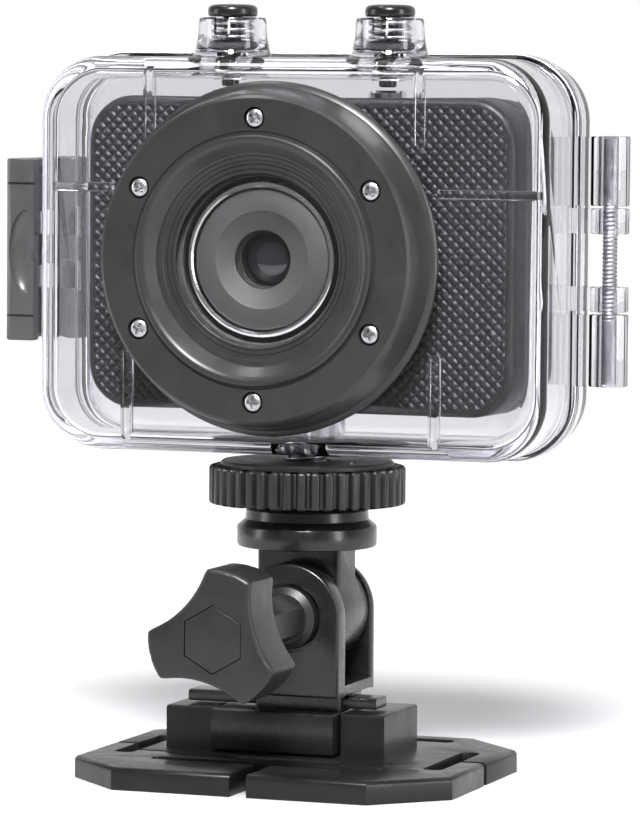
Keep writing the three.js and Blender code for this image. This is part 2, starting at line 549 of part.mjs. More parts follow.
function buildPushButtons() {
  const { cap, stem, bottom, capZ, top, crown } = PLUNGER;
  const { y } = SLEEVE;
  for (const [side, x] of Object.entries(BUTTONS)) {
    add(`plunger_${side}`, turnedZ(x, y, [[0, bottom], [stem, bottom], [stem, capZ], [cap - 0.3, capZ],
      [cap, capZ + 0.3], [cap, top - 0.6], [cap - 0.6, top - 0.12], [crown, top], [0, top]], 20), 'black');
    const ring = (p, sides) => ringZ(x, y, p.r0, p.r1, p.z0, p.z1, sides);
    add(`plunger_seal_${side}`, ring(STEM_SEAL, 20), 'rubber');
    add(`plunger_clip_${side}`, ring(STEM_CLIP, 12), 'steel');
    const steps = Math.round(SPRING.turns * SPRING.steps);
    const coil = new THREE.ExtrudeGeometry(polarShape(() => SPRING.wire, 5),
      { steps, extrudePath: helix(x, y), bevelEnabled: false });
    add(`plunger_spring_${side}`, coil, 'steel');
  }
}

// ---------- the camera inside ----------

function postPlaces() {
  const corners = [[-1, -1], [1, -1], [1, 1], [-1, 1]];
  return corners.map(([a, b]) => [CAM.x + a * CAM_POST.x, CAM.z + b * CAM_POST.z]);
}

function cameraPosts(radius, y0, y1, sides) {
  return postPlaces().map(([x, z]) => rodY(x, z, radius, y0, y1, sides));
}

function buildCameraCovers() {
  const { x, z, hx, hz, r, front, split, rear, wall } = CAM;
  const [ix, iz, ir] = [hx - wall, hz - wall, r - wall];
  const buttonHoles = Object.values(BUTTONS).map((bx) => rodZ(bx, SLEEVE.y, CAM_BUTTON.hole, 88, 96, 16));
  const frontShell = cut(caseBlock(hx, hz, r, front, split, CAM_EDGE.front, 'front', x, z),
    caseBlock(ix, iz, ir, front + wall, split + 1, 0, '', x, z));
  add('camera_front_cover', cut(join(frontShell, ...cameraPosts(CAM_POST.r, front + 0.5, split, 10)),
    ...cameraPosts(CAM_POST.hole, front + wall, split + 1, 8), ...buttonHoles,
    rodY(LENS.x, LENS.z, CAM_LENS_HOLE, front - 1, front + wall + 1, 28)), 'satin');
  const rearShell = cut(caseBlock(hx, hz, r, split + GAP, rear, CAM_EDGE.rear, 'rear', x, z),
    caseBlock(ix, iz, ir, split - 1, rear - wall, 0, '', x, z));
  const pane = SCREEN_PANE;
  const paneX = x + SCREEN.x;
  const opening = box(paneX - pane.hx - GAP, paneX + pane.hx + GAP, rear - 3, rear + 1,
    z - pane.hz - GAP, z + pane.hz + GAP);
  add('camera_rear_cover', cut(join(rearShell, ...cameraPosts(CAM_POST.r, split + GAP, rear - 0.5, 10)),
    ...cameraPosts(CAM_POST.hole, split - 1, rear + 1, 8), opening), 'satin');
  add('camera_screen_window', box(paneX - pane.hx, paneX + pane.hx, rear - wall + GAP, rear - pane.inset,
    z - pane.hz, z + pane.hz), 'clear');
  cameraPosts(CAM_POST.screw, front + wall + 0.4, rear - 0.2, 8)
    .forEach((screw, i) => add(`camera_screw_${i + 1}`, screw, 'steel'));
}

function buildCameraLens() {
  const ring = (p, sides) => ringY(LENS.x, LENS.z, p.r0, p.r1, p.y0, p.y1, sides);
  const { r, crown, shoulder, back } = ELEMENT;
  add('camera_lens_barrel', ring(LENS_BARREL, 28), 'satin');
  add('camera_lens_ring', ring(LENS_RING, 32), 'chrome');
  add('camera_lens_plate', ring(LENS_PLATE, 28), 'satin');
  add('camera_lens_element', turnedY(LENS.x, LENS.z, [[0, crown], [r / 2, crown + (shoulder - crown) / 4],
    [r, shoulder], [r, back], [0, back]], 20), 'glass');
}

// Flat parts between the covers, each a slab round a middle point.
function slab({ hx, hz, y0, y1 }, x, z) {
  return box(x - hx, x + hx, y0, y1, z - hz, z + hz);
}

function cameraButton(x) {
  const { r, top, bottom, flange } = CAM_BUTTON;
  const inner = CAM.z + CAM.hz - CAM.wall - GAP;
  const button = turnedZ(x, SLEEVE.y, [[0, bottom], [flange, bottom], [flange, inner], [r, inner],
    [r, top - 0.3], [r - 0.3, top], [0, top]], 16);
  return common(button, box(x - 5, x + 5, CAM.front + CAM.wall + GAP, CAM.split - GAP, 80, 100));
}

function buildCameraInside() {
  const { x, z } = CAM;
  add('camera_image_sensor', slab(SENSOR, LENS.x, LENS.z), 'glass');
  add('camera_circuit_board', slab(BOARD, x, z), 'board');
  add('camera_battery', slab(BATTERY, x + BATTERY.x, z), 'cell');
  add('camera_screen', slab(SCREEN, x + SCREEN.x, z), 'glass');
  for (const [side, bx] of Object.entries(BUTTONS)) add(`camera_button_${side}`, cameraButton(bx), 'steel');
}

function buildInsert() {
  const { r, knurl, ridges, z0, z1 } = INSERT;
  const outline = polarShape((a) => r + knurl * Math.cos(ridges * a), 3 * ridges);
  add('tripod_insert', cut(alongZ(outline, z0, z1), rodZ(0, 0, STUD.hole, 40, 50, 24)), 'steel');
}

buildBase();
buildClip();
buildKnob();
buildTiltHead();
buildWheel();
buildFrontShell();
buildLensPort();
buildInsert();
buildPushButtons();
buildDoor();
buildLatch();
buildCameraCovers();
buildCameraLens();
buildCameraInside();

export default group;
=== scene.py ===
import math

import bmesh
import bpy
from mathutils import Matrix, Vector


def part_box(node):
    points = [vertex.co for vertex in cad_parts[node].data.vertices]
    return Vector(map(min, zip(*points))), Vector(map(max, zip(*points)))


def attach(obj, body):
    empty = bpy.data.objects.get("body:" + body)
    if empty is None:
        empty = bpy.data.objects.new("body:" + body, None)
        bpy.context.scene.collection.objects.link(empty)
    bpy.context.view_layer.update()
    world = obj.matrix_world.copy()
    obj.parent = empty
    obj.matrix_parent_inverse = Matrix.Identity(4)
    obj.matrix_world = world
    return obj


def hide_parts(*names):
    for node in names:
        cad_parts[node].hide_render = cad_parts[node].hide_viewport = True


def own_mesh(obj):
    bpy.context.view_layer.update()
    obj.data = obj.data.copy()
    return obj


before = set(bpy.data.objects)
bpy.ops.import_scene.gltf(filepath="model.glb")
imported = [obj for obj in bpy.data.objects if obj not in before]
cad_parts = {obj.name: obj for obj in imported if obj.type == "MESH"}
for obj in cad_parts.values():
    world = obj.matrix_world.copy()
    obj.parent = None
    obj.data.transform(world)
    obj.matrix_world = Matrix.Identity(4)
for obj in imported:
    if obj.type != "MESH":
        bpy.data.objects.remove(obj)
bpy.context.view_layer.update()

MM = 0.001
TAU = math.tau


# ---------- reading the frame, in millimetres ----------

def span(node):
    """Lowest and highest corner of a CAD node, in millimetres."""
    low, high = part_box(node)
    return Vector(low) / MM, Vector(high) / MM


def middle(node):
    low, high = span(node)
    return (low + high) / 2


LENS = middle("lens_bezel")
BEZEL_LOW, BEZEL_HIGH = span("lens_bezel")
PIVOT = middle("clamp_bolt")
CASE_Z = middle("door_seal").z
CAMERA_LOW, CAMERA_HIGH = span("camera_front_cover")
HINGE = middle("hinge_pin")
LATCH_PIN = middle("latch_pin")
SIDES = ("left", "right")


# ---------- mesh tools ----------

def make(name, verts, faces):
    """A mesh object from millimetre vertices, with its faces pointing out."""
    mesh = bpy.data.meshes.new(name)
    mesh.from_pydata([Vector(v) * MM for v in verts], [], faces)
    bm = bmesh.new()
    bm.from_mesh(mesh)
    bmesh.ops.remove_doubles(bm, verts=bm.verts, dist=1e-7)
    bmesh.ops.recalc_face_normals(bm, faces=bm.faces)
    bm.to_mesh(mesh)
    bm.free()
    piece = bpy.data.objects.new(name, mesh)
    bpy.context.scene.collection.objects.link(piece)
    return piece


def place(axis, a, b, along):
    """A point from two cross coordinates and a station along the axis."""
    return {"X": (along, a, b), "Y": (a, along, b), "Z": (a, b, along)}[axis]


def offset(outline, distance):
    """The outline moved inward by a distance, along its corner bisectors."""
    count = len(outline)
    moved = []
    for i, (x, y) in enumerate(outline):
        px, py = outline[i - 1]
        nx, ny = outline[(i + 1) % count]
        ax, ay = x - px, y - py
        bx, by = nx - x, ny - y
        la, lb = math.hypot(ax, ay), math.hypot(bx, by)
        na, nb = (-ay / la, ax / la), (-by / lb, bx / lb)
        mx, my = na[0] + nb[0], na[1] + nb[1]
        scale = distance * 2 / max(mx * mx + my * my, 0.6)
        moved.append((x + mx * scale, y + my * scale))
    return moved


def prism(name, outline, axis, low, high, edge_low=0.0, edge_high=0.0, steps=5):
    """An outline (counter-clockwise) carried along an axis, with its end edges rounded."""
    stations = [(low, 0.0)] if not edge_low else [
        (low + edge_low * (1 - math.sin(TAU / 4 * i / steps)), edge_low * (1 - math.cos(TAU / 4 * i / steps)))
        for i in range(steps, -1, -1)]
    stations += [(high, 0.0)] if not edge_high else [
        (high - edge_high * (1 - math.sin(TAU / 4 * i / steps)), edge_high * (1 - math.cos(TAU / 4 * i / steps)))
        for i in range(steps + 1)]
    verts, faces = [], []
    count = len(outline)
    for station, inset in stations:
        verts += [place(axis, a, b, station) for a, b in (offset(outline, inset) if inset else outline)]
    for ring in range(len(stations) - 1):
        for i in range(count):
            j = (i + 1) % count
            a, b = ring * count, (ring + 1) * count
            faces.append((a + i, a + j, b + j, b + i))
    faces.append(tuple(range(count)))
    faces.append(tuple(range((len(stations) - 1) * count, len(stations) * count)))
    return make(name, verts, faces)


def turned(name, profile, axis, a, b, steps=96):
    """A turned piece: profile is a list of (radius, station); it ends on the axis or closes on itself."""
    closed = profile[0] == profile[-1]
    ring = profile[:-1] if closed else profile
    verts, faces = [], []
    for i in range(steps):
        c, s = math.cos(TAU * i / steps), math.sin(TAU * i / steps)
        verts += [place(axis, a + r * c, b + r * s, t) for r, t in ring]
    rows = len(ring)
    for i in range(steps):
        j = (i + 1) % steps
        for k in range(rows if closed else rows - 1):
            m = (k + 1) % rows
            corners = [i * rows + k, i * rows + m, j * rows + m, j * rows + k]
            if ring[m][0] == 0:
                corners.pop(2)
            if ring[k][0] == 0:
                corners.pop(0)
            if len(corners) > 2:
                faces.append(tuple(corners))
    return make(name, verts, faces)


def rippled(name, axis, a, b, low, high, radius, rings, steps=48):
    """A solid rod whose radius is a function of angle and station, such as a thread or a knurl."""
    verts, faces = [], []
    for k in range(rings + 1):
        t = low + (high - low) * k / rings
        for i in range(steps):
            angle = TAU * i / steps
            r = radius(angle, t)
            verts.append(place(axis, a + r * math.cos(angle), b + r * math.sin(angle), t))
    for k in range(rings):
        for i in range(steps):
            j = (i + 1) % steps
            faces.append((k * steps + i, k * steps + j, (k + 1) * steps + j, (k + 1) * steps + i))
    faces.append(tuple(range(steps)))
    faces.append(tuple(range(rings * steps, (rings + 1) * steps)))
    return make(name, verts, faces)


def baked(piece):
    """Applies the piece's modifiers."""
    graph = bpy.context.evaluated_depsgraph_get()
    mesh = bpy.data.meshes.new_from_object(piece.evaluated_get(graph))
    piece.modifiers.clear()
    old = piece.data
    piece.data = mesh
    bpy.data.meshes.remove(old)
    return piece


def boolean(piece, others, operation):
    for other in others:
        step = piece.modifiers.new("boolean", "BOOLEAN")
        step.operation = operation
        step.solver = "MANIFOLD"
        step.object = other
        baked(piece)
        bpy.data.objects.remove(other)
    return piece


def fuse(piece, *others):
    return boolean(piece, others, "UNION")


def carve(piece, *others):
    return boolean(piece, others, "DIFFERENCE")


def soften(piece, width, steps=3, angle=38):
    """Rounds every edge that is sharper than an angle."""
    step = piece.modifiers.new("bevel", "BEVEL")
    step.width = width * MM
    step.segments = steps
    step.limit_method = "ANGLE"
    step.angle_limit = math.radians(angle)
    step.use_clamp_overlap = True
    return baked(piece)


def shade(piece, angle=32):
    """Smooth shading, broken at edges sharper than an angle."""
    bm = bmesh.new()
    bm.from_mesh(piece.data)
    limit = math.radians(angle)
    for face in bm.faces:
        face.smooth = True
    for edge in bm.edges:
        edge.smooth = len(edge.link_faces) == 2 and edge.calc_face_angle(0) < limit
    bm.to_mesh(piece.data)
    bm.free()
    return piece


def settle(piece, body, slot, material, *nodes, angle=32):
    """Shading, material, body and the CAD nodes that the piece stands for. The slot argument is not used."""
    shade(piece, angle)
    piece.data.materials.clear()
    piece.data.materials.append(material)
    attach(piece, body)
    if nodes:
        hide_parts(*nodes)
    return piece


# ---------- outlines ----------

def arc(cx, cy, r, start, end, steps):
    return [(cx + r * math.cos(start + (end - start) * i / steps), cy + r * math.sin(start + (end - start) * i / steps))
            for i in range(steps + 1)]


def rounded(hx, hz, r, cx=0.0, cz=0.0, steps=12):
    quarter = TAU / 4
    corners = ((1, 1, 0), (-1, 1, 1), (-1, -1, 2), (1, -1, 3))
    return [p for sx, sz, k in corners
            for p in arc(cx + sx * (hx - r), cz + sz * (hz - r), r, k * quarter, (k + 1) * quarter, steps)]


def circle(r, cx=0.0, cz=0.0, steps=48):
    return [(cx + r * math.cos(TAU * i / steps), cz + r * math.sin(TAU * i / steps)) for i in range(steps)]


def block(name, x0, x1, y0, y1, z0, z1):
    return prism(name, [(x0, y0), (x1, y0), (x1, y1), (x0, y1)], "Z", z0, z1)


# ---------- materials ----------

def shader(name):
    material = bpy.data.materials.new(name)
    material.use_nodes = True
    nodes, links = material.node_tree.nodes, material.node_tree.links
    return material, nodes, links, nodes["Principled BSDF"]


def noise(nodes, links, scale, detail=4.0, roughness=0.55):
    """A noise texture in object coordinates; scale is in features per metre."""
    coords = nodes.new("ShaderNodeTexCoord")
    texture = nodes.new("ShaderNodeTexNoise")
    texture.inputs["Scale"].default_value = scale
    texture.inputs["Detail"].default_value = detail
    texture.inputs["Roughness"].default_value = roughness
    links.new(coords.outputs["Object"], texture.inputs["Vector"])
    return texture


def ramp(nodes, links, source, low, high, start=0.35, end=0.65):
    """Maps a texture's grey value to a range of colours or numbers."""
    step = nodes.new("ShaderNodeValToRGB")
    step.color_ramp.elements[0].position = start
    step.color_ramp.elements[1].position = end
    step.color_ramp.elements[0].color = low if len(low) == 4 else (*low, 1)
    step.color_ramp.elements[1].color = high if len(high) == 4 else (*high, 1)
    links.new(source, step.inputs["Fac"])
    return step.outputs["Color"]


def grain(nodes, links, shader_node, scale, strength, distance):
    """A fine bump on the surface."""
    texture = noise(nodes, links, scale, 3.0)
    bump = nodes.new("ShaderNodeBump")
    bump.inputs["Strength"].default_value = strength
    bump.inputs["Distance"].default_value = distance * MM
    links.new(texture.outputs["Fac"], bump.inputs["Height"])
    links.new(bump.outputs["Normal"], shader_node.inputs["Normal"])


def plastic(name, dark, light, rough_low, rough_high, coat=0.0, bump=0.12, gloss=0.5):
    """Moulded plastic: slow colour drift, handling marks in the gloss and a fine moulded grain."""
    material, nodes, links, surface = shader(name)
    drift = noise(nodes, links, 90, 5.0)
    links.new(ramp(nodes, links, drift.outputs["Fac"], (dark,) * 2 + (dark * 1.06,), (light,) * 2 + (light * 1.06,)),
              surface.inputs["Base Color"])
    marks = noise(nodes, links, 420, 6.0, 0.65)
    links.new(ramp(nodes, links, marks.outputs["Fac"], (rough_low,) * 3, (rough_high,) * 3, 0.3, 0.75),
              surface.inputs["Roughness"])
    surface.inputs["Specular IOR Level"].default_value = gloss
    surface.inputs["Coat Weight"].default_value = coat
    surface.inputs["Coat Roughness"].default_value = 0.12
    grain(nodes, links, surface, 2600, bump, 0.02)
    return material


def let_lamps_through(material, tint):
    """Light from the lamps passes clear walls, so that what is inside is lit."""
    nodes, links = material.node_tree.nodes, material.node_tree.links
    path = nodes.new("ShaderNodeLightPath")
    gap = nodes.new("ShaderNodeBsdfTransparent")
    gap.inputs["Color"].default_value = (*tint, 1)
    choice = nodes.new("ShaderNodeMixShader")
    links.new(path.outputs["Is Shadow Ray"], choice.inputs[0])
    links.new(nodes["Principled BSDF"].outputs[0], choice.inputs[1])
    links.new(gap.outputs[0], choice.inputs[2])
    links.new(choice.outputs[0], nodes["Material Output"].inputs["Surface"])


def clear(name, tint, rough):
    """Clear moulded polycarbonate, faintly cool, with slight flow marks."""
    material, nodes, links, surface = shader(name)
    let_lamps_through(material, tint)
    surface.inputs["Base Color"].default_value = (*tint, 1)
    surface.inputs["Transmission Weight"].default_value = 1.0
    surface.inputs["IOR"].default_value = 1.5
    marks = noise(nodes, links, 260, 4.0)
    links.new(ramp(nodes, links, marks.outputs["Fac"], (rough,) * 3, (rough * 2.5,) * 3), surface.inputs["Roughness"])
    grain(nodes, links, surface, 55, 0.06, 0.12)
    return material


def metal(name, colour, rough, bump=0.1, scale=1800):
    material, nodes, links, surface = shader(name)
    surface.inputs["Metallic"].default_value = 1.0
    tone = noise(nodes, links, 700, 5.0)
    links.new(ramp(nodes, links, tone.outputs["Fac"], [c * 0.86 for c in colour], colour), surface.inputs["Base Color"])
    marks = noise(nodes, links, 900, 6.0)
    links.new(ramp(nodes, links, marks.outputs["Fac"], (rough,) * 3, (rough * 1.8,) * 3), surface.inputs["Roughness"])
    grain(nodes, links, surface, scale, bump, 0.01)
    return material


def dark_glass(name, colour):
    material, nodes, links, surface = shader(name)
    tone = noise(nodes, links, 60, 2.0)
    links.new(ramp(nodes, links, tone.outputs["Fac"], [c * 0.7 for c in colour], colour), surface.inputs["Base Color"])
    surface.inputs["Roughness"].default_value = 0.06
    surface.inputs["Coat Weight"].default_value = 1.0
    surface.inputs["Coat Roughness"].default_value = 0.02
    return material


BLACK = plastic("black_gloss", 0.006, 0.010, 0.22, 0.38, coat=0.2, bump=0.06)
BASE = plastic("base_black", 0.006, 0.010, 0.26, 0.4, coat=0.05, bump=0.06, gloss=0.32)
SATIN = plastic("satin_grey", 0.007, 0.012, 0.34, 0.5, bump=0.2)
PANEL = plastic("camera_panel", 0.014, 0.022, 0.32, 0.46, bump=0.15, gloss=0.3)
BEZEL = plastic("bezel_satin", 0.018, 0.026, 0.3, 0.42, coat=0.1, bump=0.15)
# Painted reflection: the latch's base colour is lifted far above the other blacks. It stands in for the glossy sheen of
# light from the left on the lever.
LATCH = plastic("latch_painted_sheen", 0.05, 0.07, 0.24, 0.38, coat=0.2, bump=0.06)
KNOB = plastic("knob_satin", 0.009, 0.014, 0.32, 0.46, bump=0.15)
FASCIA = plastic("lens_fascia_black", 0.018, 0.026, 0.5, 0.65, bump=0.05)
RUBBER = plastic("soft_rubber", 0.012, 0.02, 0.7, 0.9, bump=0.3)
SILICONE = plastic("pale_silicone", 0.6, 0.7, 0.4, 0.55, bump=0.1)
CLEAR = clear("clear_case", (0.86, 0.86, 0.885), 0.012)
WINDOW = clear("clear_window", (0.97, 0.97, 0.975), 0.004)
STEEL = metal("plated_steel", (0.62, 0.62, 0.64), 0.22)
PIN = metal("dull_steel", (0.34, 0.34, 0.36), 0.3)
SCREW = metal("screw_steel", (0.6, 0.6, 0.62), 0.24)
CHROME = metal("bright_chrome", (0.93, 0.93, 0.95), 0.06, 0.02)
GLASS = dark_glass("coated_glass", (0.012, 0.012, 0.016))
BOARD = plastic("solder_mask", 0.03, 0.05, 0.4, 0.6)
WRAP = plastic("battery_wrap", 0.09, 0.12, 0.4, 0.55)


# ---------- joining and cutting many pieces at once ----------

def gather(name, pieces):
    """Separate closed pieces as one mesh object, without joining their surfaces."""
    bm = bmesh.new()
    for piece in pieces:
        bm.from_mesh(piece.data)
        bpy.data.objects.remove(piece)
    mesh = bpy.data.meshes.new(name)
    bm.to_mesh(mesh)
    bm.free()
    whole = bpy.data.objects.new(name, mesh)
    bpy.context.scene.collection.objects.link(whole)
    return whole


# ---------- sizes worked out from the frame ----------

GAP = 0.3
SHELL_LOW, SHELL_HIGH = span("front_shell")
DOOR_LOW, DOOR_HIGH = span("rear_door")
SEAL_LOW, SEAL_HIGH = span("door_seal")
CASE_HX = SEAL_HIGH.x + 0.8
CASE_HZ = (SEAL_HIGH.z - SEAL_LOW.z) / 2 + 0.6
CASE_R = 8.5
CASE_WALL = 2.1
CASE_FRONT = BEZEL_HIGH.y + GAP
PARTING = SEAL_LOW.y - 0.25
DOOR_FRONT = PARTING + 0.4
DOOR_REAR = DOOR_HIGH.y
RIM_HX = CASE_HX + 0.8
RIM_HZ = CASE_HZ + 0.6
RIM_T = 1.6
HINGE_R = 2.6
KNUCKLE_CUTS = [HINGE.z + d for d in (-16.9, -7.1, -6.8, -3.4, 3.7, 7.2, 7.5, 16.9)]
BUTTON_X = {side: middle(f"plunger_{side}").x for side in SIDES}
BUTTON_Y = middle("plunger_left").y
LUG_Z = ((-3.45, 1.7), (3.95, 1.75))
LATCH_LOW, LATCH_HIGH = span("latch_lever")
LATCH_Z = (LATCH_LOW.z + LATCH_HIGH.z) / 2
CLIP_SIDES = (-11.15, 6.6)


# ---------- clear housing ----------

def case_block(name, hx, hz, r, y0, y1, edge_front=0.0, edge_rear=0.0):
    return prism(name, rounded(hx, hz, r, 0, CASE_Z), "Y", y0, y1, edge_front, edge_rear, 6)


def rod(name, axis, a, b, r, low, high, edge=0.0, steps=40):
    return prism(name, circle(r, a, b, steps), axis, low, high, edge, edge, 3)


def knuckle(name, z0, z1, y0, y1):
    """A hinge barrel with the web that joins it to the case wall."""
    barrel = rod(name, "Z", HINGE.x, HINGE.y, HINGE_R, z0, z1, 0.25)
    web = block("web", CASE_HX - 1, HINGE.x, y0, y1, z0 + 0.05, z1 - 0.05)
    return fuse(barrel, web)


def sleeve_solid(side):
    x = BUTTON_X[side]
    top, shoulder = 103.6, 98.3
    profile = [(0, shoulder - 2), (5.5, shoulder - 2), (5.5, shoulder), (5.15, 98.9), (4.95, 99.8), (4.75, 101),
               (4.65, 102.4), (4.6, top - 0.35), (4.48, top - 0.08), (4.25, top), (0, top)]
    return turned("sleeve", profile, "Z", x, BUTTON_Y, 56)


def sleeve_cuts(side):
    x, top = BUTTON_X[side], 105.0
    bore = turned("bore", [(0, 94), (1.5, 94), (1.5, 98.5), (3.6, 98.5), (3.75, 98.7), (3.75, 103.2), (4.0, 103.5),
                           (4.0, top), (0, top)], "Z", x, BUTTON_Y, 56)
    slot = prism("slot", arc(x, 101.5, 1.0, TAU / 2, TAU, 10) + [(x + 1, top), (x - 1, top)], "Y", BUTTON_Y - 8,
                 BUTTON_Y)
    return fuse(bore, slot)


def rib(name, x0, x1, z0, z1):
    """A moulded rib behind the front wall, round at its free end and thinner towards its crest."""
    r = min(x1 - x0, z1 - z0) / 2 - 0.02
    outline = rounded((x1 - x0) / 2, (z1 - z0) / 2, r, (x0 + x1) / 2, (z0 + z1) / 2, 5)
    return prism(name, outline, "Y", CASE_FRONT + CASE_WALL - 0.4, CASE_FRONT + 3.95, 0.0, 0.3, 3)


def front_ribs():
    half = 0.65
    wall_x = CASE_HX - CASE_WALL + 0.3
    top = CASE_Z + CASE_HZ - CASE_WALL + 0.3
    bottom = CASE_Z - CASE_HZ + CASE_WALL - 0.3
    across = [(20.7, wall_x, 80.0), (-wall_x, -25.9, 80.3)]
    upright = [(-20.5, 86.8, top), (18.3, 85.9, top), (-23.6, bottom, 58.0), (20.8, bottom, 58.5)]
    return ([rib("rib", a, b, z - half, z + half) for a, b, z in across]
            + [rib("rib", x - half, x + half, a, b) for x, a, b in upright])


def build_front_shell():
    shell = case_block("case_front", CASE_HX, CASE_HZ, CASE_R, CASE_FRONT, PARTING, 3.0)
    rim = case_block("rim", RIM_HX, RIM_HZ, CASE_R + 0.5, PARTING - RIM_T, PARTING, 0.35, 0.15)
    catches = [block("catch", SHELL_LOW.x, 1 - CASE_HX, -0.6, 1.7, LATCH_Z - 0.45 + d - h, LATCH_Z - 0.45 + d + h)
               for d, h in ((-3.3, 1.5), (4.15, 1.55))]
    fuse(shell, rim, gather("added", [*catches, *[sleeve_solid(side) for side in SIDES]]))
    hollow = case_block("hollow", CASE_HX - CASE_WALL, CASE_HZ - CASE_WALL, CASE_R - 1.9, CASE_FRONT + CASE_WALL,
                        PARTING + 1, 1.1)
    carve(shell, hollow)
    collar = turned("collar", [(0, -12.3), (12.1, -12.3), (12.4, -12.0), (12.4, -9.2), (0, -9.2)], "Y", LENS.x, LENS.z)
    boss = rod("boss", "Z", 0, 0, 5.3, CASE_Z - CASE_HZ + 0.5, 49.6, 0.3)
    boss = carve(boss, block("trim", -9, 9, PARTING, 9, 40, 60))
    fuse(shell, gather("inner", [*front_ribs(), collar]))
    fuse(shell, boss)
    barrels = [knuckle("barrel", a, b, PARTING - RIM_T, PARTING) for a, b in
               ((KNUCKLE_CUTS[0], KNUCKLE_CUTS[1]), (KNUCKLE_CUTS[6], KNUCKLE_CUTS[7]))]
    fuse(shell, gather("barrels", barrels))
    bores = [rod("pin_bore", "Z", HINGE.x, HINGE.y, 1.35, 50, 92),
             rod("stud_bore", "Z", 0, 0, 4.2, CASE_Z - CASE_HZ - 1, 48.6),
             rod("port", "Y", LENS.x, LENS.z, 11.2, -14, 0, 0, 72),
             *[sleeve_cuts(side) for side in SIDES],
             *[rod("screw_bore", "Y", x, z, 0.95, CASE_FRONT - 1, CASE_FRONT + 1.55, 0, 16) for x, z in screw_places()]]
    carve(shell, gather("bores", bores))
    settle(shell, "housing", "clear_plastic", CLEAR, "front_shell", angle=28)


def build_door():
    door = case_block("case_rear", CASE_HX + 0.3, CASE_HZ + 0.1, CASE_R, DOOR_FRONT, DOOR_REAR, 0, 3.0)
    rim = case_block("rim", RIM_HX, RIM_HZ, CASE_R + 0.5, DOOR_FRONT, DOOR_FRONT + RIM_T + 0.1, 0.15, 0.35)
    lugs = []
    for d, h in LUG_Z:
        z = LATCH_Z - 0.3 + d
        lugs.append(block("lug", LATCH_PIN.x, 1.5 - CASE_HX, LATCH_PIN.y - 1.7, LATCH_PIN.y + 1.7, z - h, z + h))
        lugs.append(rod("lug_end", "Z", LATCH_PIN.x, LATCH_PIN.y, 1.7, z - h, z + h))
    fuse(door, rim)
    for lug in lugs:
        fuse(door, lug)
    hollow = case_block("hollow", CASE_HX - CASE_WALL, CASE_HZ - CASE_WALL, CASE_R - 1.9, DOOR_FRONT - 1,
                        DOOR_REAR - 1.9, 0, 1.1)
    groove = carve(case_block("groove", SEAL_HIGH.x + 0.3, CASE_HZ - 0.3, 7.4, DOOR_FRONT - 1, DOOR_FRONT + 1.4),
                   case_block("core", SEAL_HIGH.x - 1.3, CASE_HZ - 1.9, 6.0, DOOR_FRONT - 2, DOOR_FRONT + 2))
    carve(door, hollow, groove)
    barrels = [knuckle("barrel", a, b, DOOR_FRONT, DOOR_FRONT + RIM_T + 0.1) for a, b in
               ((KNUCKLE_CUTS[2], KNUCKLE_CUTS[3]), (KNUCKLE_CUTS[4], KNUCKLE_CUTS[5]))]
    fuse(door, gather("barrels", barrels))
    carve(door, gather("bores", [rod("pin_bore", "Z", HINGE.x, HINGE.y, 1.35, 50, 92),
                                 rod("latch_bore", "Z", LATCH_PIN.x, LATCH_PIN.y, 1.15, 50, 92)]))
    settle(door, "rear_door", "clear_plastic", CLEAR, "rear_door", angle=28)


def build_door_seal():
    y0, y1 = SEAL_LOW.y, SEAL_HIGH.y
    hz = (SEAL_HIGH.z - SEAL_LOW.z) / 2
    ring = case_block("door_gasket", SEAL_HIGH.x, hz, 7.1, y0, y1, 0.3, 0.3)
    carve(ring, case_block("core", SEAL_HIGH.x - 1, hz - 1, 6.1, y0 - 1, y1 + 1))
    settle(ring, "rear_door", "silicone", SILICONE, "door_seal")


def build_hinge_pin():
    """A pin whose middle, between the door's knuckles, is rolled with a fine thread."""
    low, high = span("hinge_pin")
    r, pitch = (high.x - low.x) / 2, 0.55

    def radius(angle, z):
        if abs(z - HINGE.z) > 8:
            return r - 0.02
        return r - 0.13 * (0.5 + 0.5 * math.cos(TAU * z / pitch - angle))

    pin = rippled("hinge_axle", "Z", HINGE.x, HINGE.y, low.z, high.z, radius, 420, 24)
    settle(pin, "housing", "steel", PIN, "hinge_pin", angle=60)


# ---------- latch ----------

